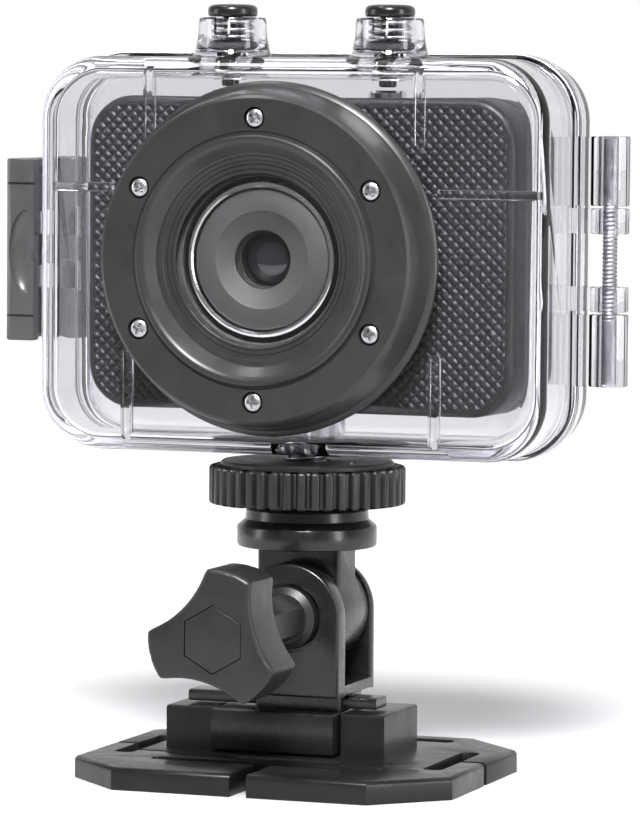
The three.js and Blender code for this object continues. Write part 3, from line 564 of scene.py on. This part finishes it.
def build_latch():
    """A lever that hugs the side of the case, with a half oval thumb scoop in its turned-in lip."""
    x, y = LATCH_PIN.x, LATCH_PIN.y
    front, low, high = LATCH_LOW.y, LATCH_LOW.z, LATCH_HIGH.z
    outer = [(x + 1.3, front), (x - 2.2, front), (x - 2.75, front + 0.25), (x - 3.1, front + 0.9), (x - 3.35, 0),
             (x - 3.4, 2), (x - 3.35, 5), (x - 3.15, 7.4), (x - 2.8, 9.4), (x - 2.3, 11.2), (x - 0.6, 12.9)]
    inner = [(x - 1.0, 9.6), (x - 1.5, 8), (x - 1.7, 6), (x - 1.7, 0), (x - 1.55, -0.9), (x - 1.2, -1.3), (x + 1.3, -1.3)]
    lever = prism("latch_handle", (outer + inner)[::-1], "Z", low, high, 0.3, 0.3, 3)
    fuse(lever, rod("barrel", "Z", x, y, 2.7, low, high, 0.3))
    arch = [(2.8 * math.cos(a), 5.9 * math.sin(a)) for a in (TAU / 4 * (i / 10 - 1) for i in range(1, 20))]
    scoop = turned("scoop", [(0, -5.9), *arch, (0, 5.9)], "Z", 0, 0, 48)
    flat_side = x + 0.3
    scoop.data.transform(Matrix.Translation(Vector((flat_side, front - 0.2, LATCH_Z - 0.25)) * MM)
                         @ Matrix.Diagonal((1, 0.5, 1, 1)))
    carve(scoop, block("flat", flat_side, flat_side + 5, -9, 3, low, high))
    bands = [block("band", x - 6, x + 4, front - 1, front + 0.3, LATCH_Z + d - 0.18, LATCH_Z + d + 0.18)
             for d in (-9.2, 9.2)]
    slots = [block("slot", x - 2.05, x + 5, y - 2.6, y + 3.5, LATCH_Z - 0.3 + d - h - 0.35, LATCH_Z - 0.3 + d + h + 0.35)
             for d, h in LUG_Z]
    carve(lever, scoop, gather("bands", bands), gather("slots", slots), rod("bore", "Z", x, y, 1.15, 50, 92))
    # The lever's material carries a painted reflection: its lighter base colour stands in for sheen.
    settle(lever, "latch", "black_plastic", LATCH, "latch_lever")


def build_latch_pin():
    low, high = span("latch_pin")
    pin = rod("latch_axle", "Z", LATCH_PIN.x, LATCH_PIN.y, (high.x - low.x) / 2, low.z, high.z, 0.2)
    settle(pin, "rear_door", "steel", STEEL, "latch_pin")


# ---------- lens port ----------

def screw_places():
    return [((span(f"bezel_screw_{i}")[0] + span(f"bezel_screw_{i}")[1]) / 2).xz for i in range(1, 7)]


def build_bezel():
    back, lip = BEZEL_HIGH.y, BEZEL_LOW.y
    face = lip + 0.7
    r = (BEZEL_HIGH.x - BEZEL_LOW.x) / 2
    flange = [(r - 0.3, back), (r, back - 0.25), (r, back - 0.8), (r - 0.25, back - 1.1), (r - 0.75, back - 1.35)]
    cone = [(r - 0.85, back - 1.6), (r - 1.35, face + 2.6), (r - 1.65, face + 0.9), (r - 1.9, face + 0.35),
            (r - 2.3, face)]
    ring_lip = [(17.35, face), (17.25, face + 0.14), (17.05, face + 0.14), (16.95, face - 0.05), (16.8, lip + 0.18),
                (16.55, lip), (16.2, lip)]
    funnel = [(15.85, lip + 0.12), (15.5, lip + 0.42), (14.35, lip + 1.5), (14.15, lip + 1.56), (14.15, lip + 1.78),
              (13.5, lip + 1.86)]
    steps = [(13.4, lip + 2.0), (12.95, lip + 2.02), (12.9, lip + 2.16), (12.7, lip + 2.16), (12.65, lip + 2.02),
             (12.3, lip + 2.02), (12.25, lip + 2.16), (12.05, lip + 2.16), (12.0, lip + 2.02), (11.8, lip + 2.02)]
    inside = [(11.7, lip + 2.1), (11.7, lip + 2.3), (12.7, lip + 2.3), (12.7, back)]
    bezel = turned("port_bezel", [(12.7, back)] + flange + cone + ring_lip + funnel + steps + inside, "Y", LENS.x,
                   LENS.z, 160)
    holes = [turned("hole", [(0, face - 1), (1.55, face - 1), (1.5, face + 0.02), (1.42, face + 1.05),
                             (1.0, face + 1.05), (1.0, back + 1), (0, back + 1)], "Y", x, z, 32)
             for x, z in screw_places()]
    groove = turned("groove", [(21.4, back - 0.9), (23, back - 0.9), (23, back + 1), (21.4, back + 1),
                               (21.4, back - 0.9)], "Y", LENS.x, LENS.z, 96)
    carve(bezel, gather("holes", holes), groove)
    settle(bezel, "housing", "black_plastic", BEZEL, "lens_bezel", angle=24)


def build_bezel_screws():
    """Pan-head screws, each left at its own angle by the driver."""
    for i, (x, z) in enumerate(screw_places(), 1):
        low, high = span(f"bezel_screw_{i}")
        face, tip = low.y, high.y
        head = [(0, face), (0.5, face + 0.01), (0.9, face + 0.07), (1.14, face + 0.2), (1.25, face + 0.4),
                (1.25, face + 0.8)]
        shank = [(0.7, face + 0.8)]
        for k in range(18):
            station = face + 1.0 + (tip - 0.6 - face - 1.0) * k / 17
            shank.append((0.7 if k % 2 else 0.52, station))
        screw = turned(f"port_screw_{i}", head + shank + [(0, tip)], "Y", x, z, 40)
        cross = [block("arm", -0.82, 0.82, face - 1, face + 0.7, -0.2, 0.2),
                 block("arm", -0.2, 0.2, face - 1, face + 0.701, -0.82, 0.82)]
        recess = fuse(*cross)
        recess.data.transform(Matrix.Translation((x * MM, 0, z * MM)) @ Matrix.Rotation(0.35 + 1.9 * i, 4, "Y"))
        carve(screw, recess)
        settle(screw, "housing", "steel", SCREW, f"bezel_screw_{i}")


def ring(name, node, inner, edge, body, slot, material):
    """A turned ring with rounded edges, filling its node's span."""
    low, high = span(node)
    r = (high.x - low.x) / 2
    y0, y1 = low.y, high.y
    centre = middle(node)
    profile = [(inner, y1 - edge), (inner, y0 + edge), (inner + edge, y0), (r - edge, y0), (r - edge * 0.3, y0 + edge * 0.3),
               (r, y0 + edge), (r, y1 - edge), (r - edge, y1), (inner + edge, y1), (inner, y1 - edge)]
    piece = turned(name, profile, "Y", centre.x, centre.z, 128)
    settle(piece, body, slot, material, node, angle=40)


def build_lens_port():
    ring("port_gasket", "bezel_gasket", 21.7, 0.2, "housing", "rubber", RUBBER)
    ring("glass_gasket", "window_seal", 11.2, 0.2, "housing", "rubber", RUBBER)
    low, high = span("lens_window")
    r = (high.x - low.x) / 2
    window = turned("port_window", [(0, low.y), (r - 0.15, low.y), (r, low.y + 0.15), (r, high.y - 0.15),
                                    (r - 0.15, high.y), (0, high.y)], "Y", LENS.x, LENS.z, 96)
    settle(window, "housing", "clear_plastic", WINDOW, "lens_window")


def build_camera_lens():
    ring("lens_trim_ring", "camera_lens_ring", 9.75, 0.22, "housing", "chrome", CHROME)
    low, high = span("camera_lens_plate")
    r, y0, y1 = (high.x - low.x) / 2, low.y, high.y
    plate = turned("lens_fascia", [(4.0, y1), (4.0, y0 + 0.36), (4.12, y0 + 0.3), (6.5, y0 + 0.08), (6.62, y0),
                                   (r - 0.35, y0), (r, y0 + 0.2), (r, y1), (4.0, y1)], "Y", LENS.x, LENS.z, 128)
    settle(plate, "housing", "satin_plastic", FASCIA, "camera_lens_plate")
    low, high = span("camera_lens_element")
    r, y0, y1 = (high.x - low.x) / 2, low.y, high.y
    dome = [(r * math.sin(TAU / 4 * i / 12), y0 + 1.2 * (1 - math.cos(TAU / 4 * i / 12))) for i in range(13)]
    element = turned("lens_front_element", dome + [(r, y1), (0, y1)], "Y", LENS.x, LENS.z, 96)
    settle(element, "housing", "lens_glass", GLASS, "camera_lens_element", angle=60)
    low, high = span("camera_lens_barrel")
    r, y0, y1 = (high.x - low.x) / 2, low.y, high.y
    bore = [(3.7, y1), (3.7, y0 + 1.1), (3.8, y0 + 1.0), (3.8, y0 + 0.55), (3.9, y0 + 0.45), (3.9, y0)]
    barrel = turned("lens_tube", bore + [(r - 0.4, y0), (r, y0 + 0.4), (r, y1), (3.7, y1)], "Y", LENS.x, LENS.z, 96)
    settle(barrel, "housing", "satin_plastic", SATIN, "camera_lens_barrel")


# ---------- the camera ----------

def quilted_panel(name, hx, hz, r, cx, cz, back, crest, pitch, hole):
    """A sheet pressed into small diamond cushions, cut to a rounded rectangle with a round hole for the lens."""
    fine = 6
    bm = bmesh.new()
    reach = int((hx + hz) / pitch) + 2
    count = 2 * reach * fine
    grid = {}

    def corner(i, j):
        if (i, j) not in grid:
            u, v = i / fine, j / fine
            rise = min(1.0, min(abs(math.sin(math.pi * u)), abs(math.sin(math.pi * v))) / 0.8)
            lift = rise * rise * (3 - 2 * rise)
            grid[i, j] = bm.verts.new(((cx + (u + v) * pitch / 2) * MM, (crest + 0.22 * (1 - lift)) * MM,
                                       (cz + (u - v) * pitch / 2) * MM))
        return grid[i, j]

    for i in range(-count // 2, count // 2):
        for j in range(-count // 2, count // 2):
            u, v = (i + 0.5) / fine, (j + 0.5) / fine
            x, z = (u + v) * pitch / 2, (u - v) * pitch / 2
            from_lens = math.hypot(cx + x - LENS.x, cz + z - LENS.z)
            if abs(x) < hx + pitch / 2 and abs(z) < hz + pitch / 2 and from_lens > hole:
                bm.faces.new((corner(i, j), corner(i + 1, j), corner(i + 1, j + 1), corner(i, j + 1)))
    outline = rounded(hx, hz, r, cx, cz, 7)
    for k, (x, z) in enumerate(outline):
        nx, nz = outline[(k + 1) % len(outline)]
        normal = Vector((nz - z, 0, x - nx))
        bmesh.ops.bisect_plane(bm, geom=bm.verts[:] + bm.edges[:] + bm.faces[:], plane_co=Vector((x, 0, z)) * MM,
                               plane_no=normal, clear_outer=True, dist=1e-7)
    rim = [e for e in bm.edges if e.is_boundary]
    for vert in {v for e in rim for v in e.verts}:
        x, z = vert.co.x / MM - LENS.x, vert.co.z / MM - LENS.z
        reach_out = math.hypot(x, z)
        if reach_out < hole + 1.5:
            vert.co.x, vert.co.z = (LENS.x + x * hole / reach_out) * MM, (LENS.z + z * hole / reach_out) * MM
    skirt = bmesh.ops.extrude_edge_only(bm, edges=rim)["geom"]
    for vert in (g for g in skirt if isinstance(g, bmesh.types.BMVert)):
        vert.co.y = back * MM
    mesh = bpy.data.meshes.new(name)
    bmesh.ops.recalc_face_normals(bm, faces=bm.faces)
    bm.to_mesh(mesh)
    bm.free()
    piece = bpy.data.objects.new(name, mesh)
    bpy.context.scene.collection.objects.link(piece)
    return piece


def build_camera_covers():
    low, high = CAMERA_LOW, CAMERA_HIGH
    hx, hz = (high.x - low.x) / 2, (high.z - low.z) / 2
    cx, cz = (high.x + low.x) / 2, (high.z + low.z) / 2
    front, split = low.y, high.y
    r = 6.2
    cover = prism("camera_front_body", rounded(hx, hz, r, cx, cz), "Y", front + 0.35, split, 1.0, 0.15)
    carve(cover, prism("hollow", rounded(hx - 1.4, hz - 1.4, r - 1.4, cx, cz), "Y", front + 1.4, split + 1))
    bores = [rod("lens_bore", "Y", LENS.x, LENS.z, 10.6, front - 1, front + 3, 0, 72)]
    bores += [rod("button_bore", "Z", x, BUTTON_Y, 2.9, high.z - 4, high.z + 2) for x in BUTTON_X.values()]
    carve(cover, gather("bores", bores))
    settle(cover, "housing", "satin_plastic", SATIN, "camera_front_cover")
    panel = quilted_panel("camera_front_panel", hx - 1.1, hz - 1.1, r - 1.1, cx, cz, front + 0.6, front, 1.55, 10.7)
    settle(panel, "housing", "satin_plastic", PANEL, angle=50)
    low, high = span("camera_rear_cover")
    rear = high.y
    cover = prism("camera_rear_body", rounded(hx, hz, r, cx, cz), "Y", low.y, rear, 0.15, 2.0)
    carve(cover, prism("hollow", rounded(hx - 1.4, hz - 1.4, r - 1.4, cx, cz), "Y", low.y - 1, rear - 1.4),
          prism("screen_opening", rounded(20, 15.5, 0.8, cx - 4, cz), "Y", rear - 3, rear + 1))
    settle(cover, "housing", "satin_plastic", SATIN, "camera_rear_cover")
    low, high = span("camera_screen_window")
    pane = prism("screen_pane", rounded((high.x - low.x) / 2, (high.z - low.z) / 2, 0.6, (low.x + high.x) / 2,
                                        (low.z + high.z) / 2), "Y", low.y, high.y, 0.1, 0.15)
    settle(pane, "housing", "clear_plastic", WINDOW, "camera_screen_window")


# ---------- push buttons ----------

def build_push_buttons():
    for side in SIDES:
        x = BUTTON_X[side]
        low, high = span(f"plunger_{side}")
        r, top, cap_z = (high.x - low.x) / 2, high.z, high.z - 1.7
        profile = [(0, low.z), (1.0, low.z), (1.2, low.z + 0.2), (1.2, cap_z - 0.2), (1.5, cap_z), (r - 0.35, cap_z),
                   (r - 0.1, cap_z + 0.1), (r, cap_z + 0.35), (r, top - 0.75), (r - 0.12, top - 0.4),
                   (r - 0.45, top - 0.14), (r - 1.0, top - 0.04), (1.9, top), (0, top)]
        button = turned(f"push_button_{side}", profile, "Z", x, BUTTON_Y, 64)
        settle(button, f"plunger_{side}", "black_plastic", BLACK, f"plunger_{side}", angle=40)
        low, high = span(f"plunger_seal_{side}")
        r = (high.x - low.x) / 2
        seal = turned(f"stem_gasket_{side}", [(1.5, low.z + 0.2), (1.7, low.z), (r - 0.3, low.z), (r, low.z + 0.3),
                      (r, high.z - 0.3), (r - 0.3, high.z), (1.7, high.z), (1.5, high.z - 0.2), (1.5, low.z + 0.2)],
                      "Z", x, BUTTON_Y, 48)
        settle(seal, "housing", "rubber", RUBBER, f"plunger_seal_{side}", angle=50)
        build_spring(side)


def build_spring(side):
    """A round wire wound on a helix, with its end turns closed up."""
    low, high = span(f"plunger_spring_{side}")
    wire, turns, sides = 0.26, 3.5, 12
    r = (high.x - low.x) / 2 - wire
    steps = int(turns * 32)
    verts, faces = [], []
    for i in range(steps + 1):
        t = i / steps
        a = TAU * turns * t
        z = low.z + wire + (high.z - low.z - 2 * wire) * (t - 0.07 * math.sin(TAU * t))
        for k in range(sides):
            b = TAU * k / sides
            reach = r + wire * math.cos(b)
            verts.append((BUTTON_X[side] + reach * math.cos(a), BUTTON_Y + reach * math.sin(a), z + wire * math.sin(b)))
    for i in range(steps):
        for k in range(sides):
            j = (k + 1) % sides
            faces.append((i * sides + k, i * sides + j, (i + 1) * sides + j, (i + 1) * sides + k))
    faces += [tuple(range(sides)), tuple(range(steps * sides, (steps + 1) * sides))]
    coil = make(f"return_spring_{side}", verts, faces)
    settle(coil, "housing", "steel", STEEL, f"plunger_spring_{side}", angle=60)
    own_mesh(coil)


# ---------- mount: wheel, tilt head, knob, yoke and base ----------

def build_wheel():
    """A thumb wheel with flat-topped teeth between narrow grooves, and a smooth raised face."""
    low, high = span("thumb_wheel")
    r, teeth, z1 = (high.x - low.x) / 2, 44, high.z - 0.7
    rim = []
    for i in range(teeth * 12):
        a = TAU * i / (teeth * 12)
        wave = min(1.0, max(0.0, math.cos(teeth * a) + 0.75) / 0.9)
        reach = r - 0.75 * (1 - wave ** 0.6)
        rim.append((reach * math.cos(a), reach * math.sin(a)))
    wheel = prism("thumb_nut", rim, "Z", low.z, z1, 0.35, 0.45, 3)
    top = turned("top", [(0, z1 - 1), (r - 1.6, z1 - 1), (r - 1.6, high.z - 0.25), (r - 1.85, high.z), (0, high.z)], "Z",
                 0, 0, 96)
    fuse(wheel, top)
    carve(wheel, rod("bore", "Z", 0, 0, 3.3, low.z - 1, high.z + 1))
    settle(wheel, "thumb_wheel", "satin_plastic", SATIN, "thumb_wheel")


def build_tilt_head():
    """A round platform with a raised boss, on a neck that ends in the pivot barrel."""
    low, high = span("tilt_head")
    r, z1 = (high.x - low.x) / 2, high.z
    z0, shoulder = z1 - 5.4, z1 - 2.7
    disc = turned("tilt_platform", [(0, z0), (r - 0.5, z0), (r - 0.12, z0 + 0.14), (r, z0 + 0.5), (r, shoulder),
                                    (r - 0.12, shoulder + 0.25), (r - 0.95, shoulder + 0.95), (r - 1.1, shoulder + 1.1),
                                    (r - 1.2, z1 - 0.35), (r - 1.5, z1), (0, z1)], "Z", 0, 0, 128)
    neck = prism("neck", rounded(6.0, 3.4, 0.5, 0, 0, 4), "Z", PIVOT.z, z0 + 0.5)
    barrel = rod("barrel", "Y", 0, PIVOT.z, 7.1, -4.1, 5.6, 0.3, 96)
    fuse(disc, neck, barrel)
    carve(disc, gather("bores", [rod("pivot_bore", "Y", 0, PIVOT.z, 2.3, -12, 12),
                                 rod("stud_bore", "Z", 0, 0, 3.3, 28, z1 + 1)]))
    settle(disc, "tilt_head", "black_plastic", BLACK, "tilt_head")


def thread(name, node, body, axis, pitch, depth, start, stop, nodes_rings):
    low, high = span(node)
    centre = middle(node)
    at = "XYZ".index(axis)
    r = (high.x - low.x) / 2
    cross = {"Z": (centre.x, centre.y), "Y": (centre.x, centre.z)}[axis]

    def radius(angle, t):
        if not start <= t <= stop:
            return r - 0.02
        return r - depth * (0.5 + 0.5 * math.cos(TAU * t / pitch - angle))

    piece = rippled(name, axis, *cross, low[at], high[at], radius, nodes_rings, 40)
    settle(piece, body, "steel", STEEL, node, angle=60)


def knob_radius(a):
    """Three broad lobes of one radius, joined by hollow arcs through the valleys between them."""
    tip, valley, corner, blend, turn = 9.3, 5.9, 21, 0.9, 76
    half = math.radians(60 - corner)
    ex, ey = tip * math.cos(half), tip * math.sin(half)
    centre = (ex * ex + ey * ey - valley * valley) / (2 * (ex - valley))
    arc_r = centre - valley
    from_valley = (a - math.radians(turn)) % (TAU / 3) - TAU / 6
    inside = max(0.0, arc_r * arc_r - (centre * math.sin(from_valley)) ** 2)
    hollow = centre * math.cos(from_valley) - math.sqrt(inside)
    overlap = max(0.0, blend - abs(hollow - tip)) / blend
    return min(hollow, tip) - overlap * overlap * blend / 4


def hexagon(r):
    return [(r * math.cos(TAU * (i + 0.5) / 6), PIVOT.z + r * math.sin(TAU * (i + 0.5) / 6)) for i in range(6)]


def build_knob():
    """A three-lobed knob with a six-sided cap let into its face and a six-sided hub behind."""
    low, high = span("knob_grip")
    face, back, hub_end = low.y, low.y + 9, high.y
    angles = [TAU * i / 180 for i in range(180)]
    outline = [(knob_radius(a) * math.cos(a), PIVOT.z + knob_radius(a) * math.sin(a)) for a in angles]
    knob = prism("clamp_knob", outline, "Y", face, back, 0.7, 0.6, 5)
    collar = turned("collar", [(0, hub_end - 2.2), (3.4, hub_end - 2.2), (4.3, hub_end - 1.6), (4.4, hub_end - 0.2),
                               (4.3, hub_end), (0, hub_end)], "Y", 0, PIVOT.z, 64)
    fuse(knob, prism("hub", hexagon(3.4), "Y", back - 1, hub_end, 0, 0.1), collar)
    carve(knob, prism("seat", hexagon(4.6), "Y", face - 1, face + 1.4),
          rod("bore", "Y", 0, PIVOT.z, 2.3, face + 4.7, 0))
    settle(knob, "clamp_knob", "satin_plastic", KNOB, "knob_grip")
    low, high = span("knob_cap")
    cap = prism("knob_badge", hexagon(4.5), "Y", low.y - 0.1, high.y, 0.12, 0.0, 3)
    settle(cap, "clamp_knob", "satin_plastic", KNOB, "knob_cap")


def cheek(name, y0, y1):
    bottom, r = 11.3, 7.4
    outline = [(-r, bottom), (r, bottom)] + arc(0, PIVOT.z, r, 0, TAU / 2, 40)
    return prism(name, outline, "Y", y0, y1, 0.35, 0.35, 3)


def slab(name, x0, x1, y0, y1, z0, z1, edge_low=0.0, edge_high=0.0):
    """A block whose lower and upper edges are rounded."""
    return prism(name, [(x0, y0), (x1, y0), (x1, y1), (x0, y1)], "Z", z0, z1, edge_low, edge_high, 3)


def build_clip():
    """The sliding clip with its wings and finger bar, and the yoke that stands on its narrow waist."""
    low, high = span("clip_yoke")
    front, y0, y1, z0, z1 = low.y, low.y + 0.3, high.y, low.z, 9.1
    x0, x1 = CLIP_SIDES
    body = slab("mount_clip", x0, x1, y0, y1, z0, z1, 0.2, 0.4)
    wings = slab("wings", x0 - 1.6, x1 + 1.6, y0 + 8, y1, z0, z0 + 1.95, 0.2, 0.3)
    bar = slab("bar", low.x, 11.2, front + 5.1, front + 9.3, 9.4, 11, 0.25, 0.35)
    waist = prism("waist", rounded(6.3, 4.5, 0.6, 0, front + 8.8, 3), "Z", z1 - 0.5, 11.8)
    saddle = prism("saddle", rounded(7.4, 7.55, 0.5, 0, front + 7.55, 3), "Z", 11.3, 12.8, 0.35, 0)
    boss = rod("boss", "Y", 0, PIVOT.z, 5, 7.1, 9.6, 0.3, 64)
    fuse(body, wings, waist, bar, saddle, cheek("cheek", front, front + 3.2), cheek("cheek", 6.0, 7.4), boss)
    carve(body, gather("bores", [rod("bolt_bore", "Y", 0, PIVOT.z, 2.3, -12, 12)]),
          rod("hub_seat", "Y", 0, PIVOT.z, 4.8, front - 1, front + 0.8, 0, 64),
          prism("nut_seat", hexagon(3.8), "Y", 6.9, 10.6),
          block("relief", x0 + 2, x1 - 2, y0 + 2.5, y1 - 2, z0 - 1, z0 + 2.6))
    settle(body, "clip", "black_plastic", BLACK, "clip_yoke")


def slot_cut(hx, hy, cx, cy):
    """A strap slot with rounded ends."""
    return prism("slot", rounded(hx, hy, min(hx, hy) - 0.3, cx, cy, 8), "Z", -1, 6)


def build_base():
    """The octagonal plate with its strap slots, and the two rails with channels open at the rear."""
    low, high = span("base_plate")
    hx, hy, cy = high.x, (high.y - low.y) / 2, (high.y + low.y) / 2
    chamfer, t = 9.0, 3.1
    outline = [(hx - chamfer, cy - hy), (hx, cy - hy + chamfer), (hx, cy + hy - chamfer), (hx - chamfer, cy + hy),
               (chamfer - hx, cy + hy), (-hx, cy + hy - chamfer), (-hx, cy - hy + chamfer), (chamfer - hx, cy - hy)]
    plate = prism("strap_plate", outline, "Z", 0, t, 0.15, 0.7, 5)
    cuts = []
    for s in (-1, 1):
        x = s * (hx - 4.8)
        row = cy + s * (hy - (10.9 if s < 0 else 4.8))
        cuts += [slot_cut(1.4, 9, x, cy), slot_cut(16.5, 1.4, 0, row),
                 block("slit", min(x, s * 40), max(x, s * 40), cy - 0.6, cy + 0.6, -1, 6),
                 block("slit", -1.2, 1.2, min(row, s * 60), max(row, s * 60), -1, 6)]
    for cut in cuts:
        carve(plate, cut)
    carve(plate, prism("score", rounded(18.5, 0.5, 0.45, -2.5, cy - 6, 5), "Z", t - 0.7, t + 1))
    soften(plate, 0.28, 2, 60)
    in_left, in_right = CLIP_SIDES[0] - GAP, CLIP_SIDES[1] + GAP
    left, right, y0, y1, top, lip, undercut = -18.6, 13.2, -5.0, 9.0, high.z, 5.8, 1.8
    fuse(plate, slab("rail", left, in_left, y0, y1, t - 0.5, top, 0, 0.4),
         slab("rail", in_right, right, y0, y1, t - 0.5, top, 0, 0.4))
    carve(plate, block("channel", in_left - undercut, in_left + 0.2, 0.3, y1 + 1, t, lip),
          block("channel", in_right - 0.2, in_right + undercut, 0.3, y1 + 1, t, lip))
    settle(plate, "base", "black_plastic", BASE, "base_plate")


# ---------- nodes that keep their CAD shape ----------

def dress_kept_nodes():
    finishes = {"tripod_insert": SCREW, "clamp_nut": STEEL, "camera_image_sensor": GLASS, "camera_circuit_board": BOARD,
                "camera_battery": WRAP, "camera_screen": GLASS}
    for side in SIDES:
        finishes[f"plunger_clip_{side}"] = STEEL
        finishes[f"camera_button_{side}"] = CHROME
    for i in range(1, 5):
        finishes[f"camera_screw_{i}"] = STEEL
    for node, material in finishes.items():
        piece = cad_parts[node]
        piece.data.materials.clear()
        piece.data.materials.append(material)


# ---------- studio ----------

def build_floor():
    size, front = 3000, -300
    corners = [(-size, front, 0), (size, front, 0), (size, size, 0), (-size, size, 0)]
    floor = make("studio_floor", corners, [(0, 1, 2, 3)])
    material, nodes, links, surface = shader("studio_white")
    tone = noise(nodes, links, 1.5, 2.0)
    links.new(ramp(nodes, links, tone.outputs["Fac"], (0.61, 0.61, 0.615), (0.63, 0.63, 0.635)), surface.inputs["Base Color"])
    surface.inputs["Roughness"].default_value = 0.6
    surface.inputs["Specular IOR Level"].default_value = 0.0
    floor.data.materials.append(material)


def softbox(name, position, target, width, height, power):
    data = bpy.data.lights.new(name, "AREA")
    data.shape = "RECTANGLE"
    data.size, data.size_y = width * MM, height * MM
    data.energy = power
    lamp = bpy.data.objects.new(name, data)
    lamp.location = Vector(position) * MM
    lamp.rotation_euler = (Vector(target) - Vector(position)).to_track_quat("-Z", "Y").to_euler()
    bpy.context.scene.collection.objects.link(lamp)


def build_studio():
    """A white backdrop behind the object, a dimmer room in front of it, a soft key light and soft boxes."""
    world = bpy.data.worlds.new("studio")
    bpy.context.scene.world = world
    world.use_nodes = True
    nodes, links = world.node_tree.nodes, world.node_tree.links
    coords = nodes.new("ShaderNodeTexCoord")
    split = nodes.new("ShaderNodeSeparateXYZ")
    room = nodes.new("ShaderNodeMapRange")
    room.inputs["From Min"].default_value = 0.1
    room.inputs["From Max"].default_value = 0.6
    room.inputs["To Min"].default_value = 0.18
    room.inputs["To Max"].default_value = 0.85
    links.new(coords.outputs["Generated"], split.inputs[0])
    links.new(split.outputs["Y"], room.inputs["Value"])
    path = nodes.new("ShaderNodeLightPath")

    def join(operation, a, b):
        node = nodes.new("ShaderNodeMath")
        node.operation = operation
        links.new(a, node.inputs[0])
        if isinstance(b, float):
            node.inputs[1].default_value = b
        else:
            links.new(b, node.inputs[1])
        return node.outputs[0]

    through = join("MAXIMUM", path.outputs["Is Camera Ray"], path.outputs["Is Transmission Ray"])
    bounces = join("ADD", path.outputs["Glossy Depth"], path.outputs["Diffuse Depth"])
    straight = join("MULTIPLY", through, join("LESS_THAN", bounces, 0.5))
    links.new(join("MAXIMUM", straight, room.outputs[0]), nodes["Background"].inputs["Strength"])
    nodes["Background"].inputs["Color"].default_value = (1.0, 1.0, 1.0, 1)
    target = (0, 0, 50)
    key = bpy.data.lights.new("key", "SUN")
    key.energy = 6.0
    key.angle = math.radians(16)
    lamp = bpy.data.objects.new("key", key)
    lamp.rotation_euler = Vector((0.25, -1.0, 1.0)).to_track_quat("Z", "Y").to_euler()
    bpy.context.scene.collection.objects.link(lamp)
    softbox("side", (520, -160, 160), target, 120, 420, 1.2)
    softbox("left", (-560, -240, 120), target, 160, 420, 0.8)
    softbox("top", (0, 120, 620), target, 420, 240, 0.3)
    softbox("crescent", (-200, -75, 600), target, 150, 100, 0.6)
    bpy.context.scene.view_settings.view_transform = "Standard"


def build_camera():
    azimuth, elevation, roll, distance = 19.776, 4.001, 0.450, 666.88
    target = Vector((1.763, 0.0, 49.745))
    a, e = math.radians(azimuth), math.radians(elevation)
    away = Vector((math.sin(a) * math.cos(e), -math.cos(a) * math.cos(e), math.sin(e)))
    data = bpy.data.cameras.new("camera")
    data.sensor_fit = "VERTICAL"
    data.sensor_height = 36
    data.lens = 212.6
    data.clip_start, data.clip_end = 0.01, 20
    camera = bpy.data.objects.new("camera", data)
    camera.location = (target + away * distance) * MM
    aim = (-away).to_track_quat("-Z", "Y")
    camera.rotation_euler = (aim.to_matrix() @ Matrix.Rotation(math.radians(roll), 3, "Z")).to_euler()
    bpy.context.scene.collection.objects.link(camera)
    bpy.context.scene.camera = camera


build_camera()
build_studio()
build_floor()
build_front_shell()
build_door()
build_door_seal()
build_hinge_pin()
build_latch()
build_latch_pin()
build_bezel()
build_bezel_screws()
build_lens_port()
build_camera_lens()
build_camera_covers()
build_push_buttons()
build_wheel()
build_tilt_head()
thread("stud_thread", "tripod_stud", "tilt_head", "Z", 1.27, 0.55, 35.5, 48, 260)
thread("bolt_thread", "clamp_bolt", "clamp_knob", "Y", 0.8, 0.3, -12, 8, 320)
build_knob()
build_clip()
build_base()
dress_kept_nodes()
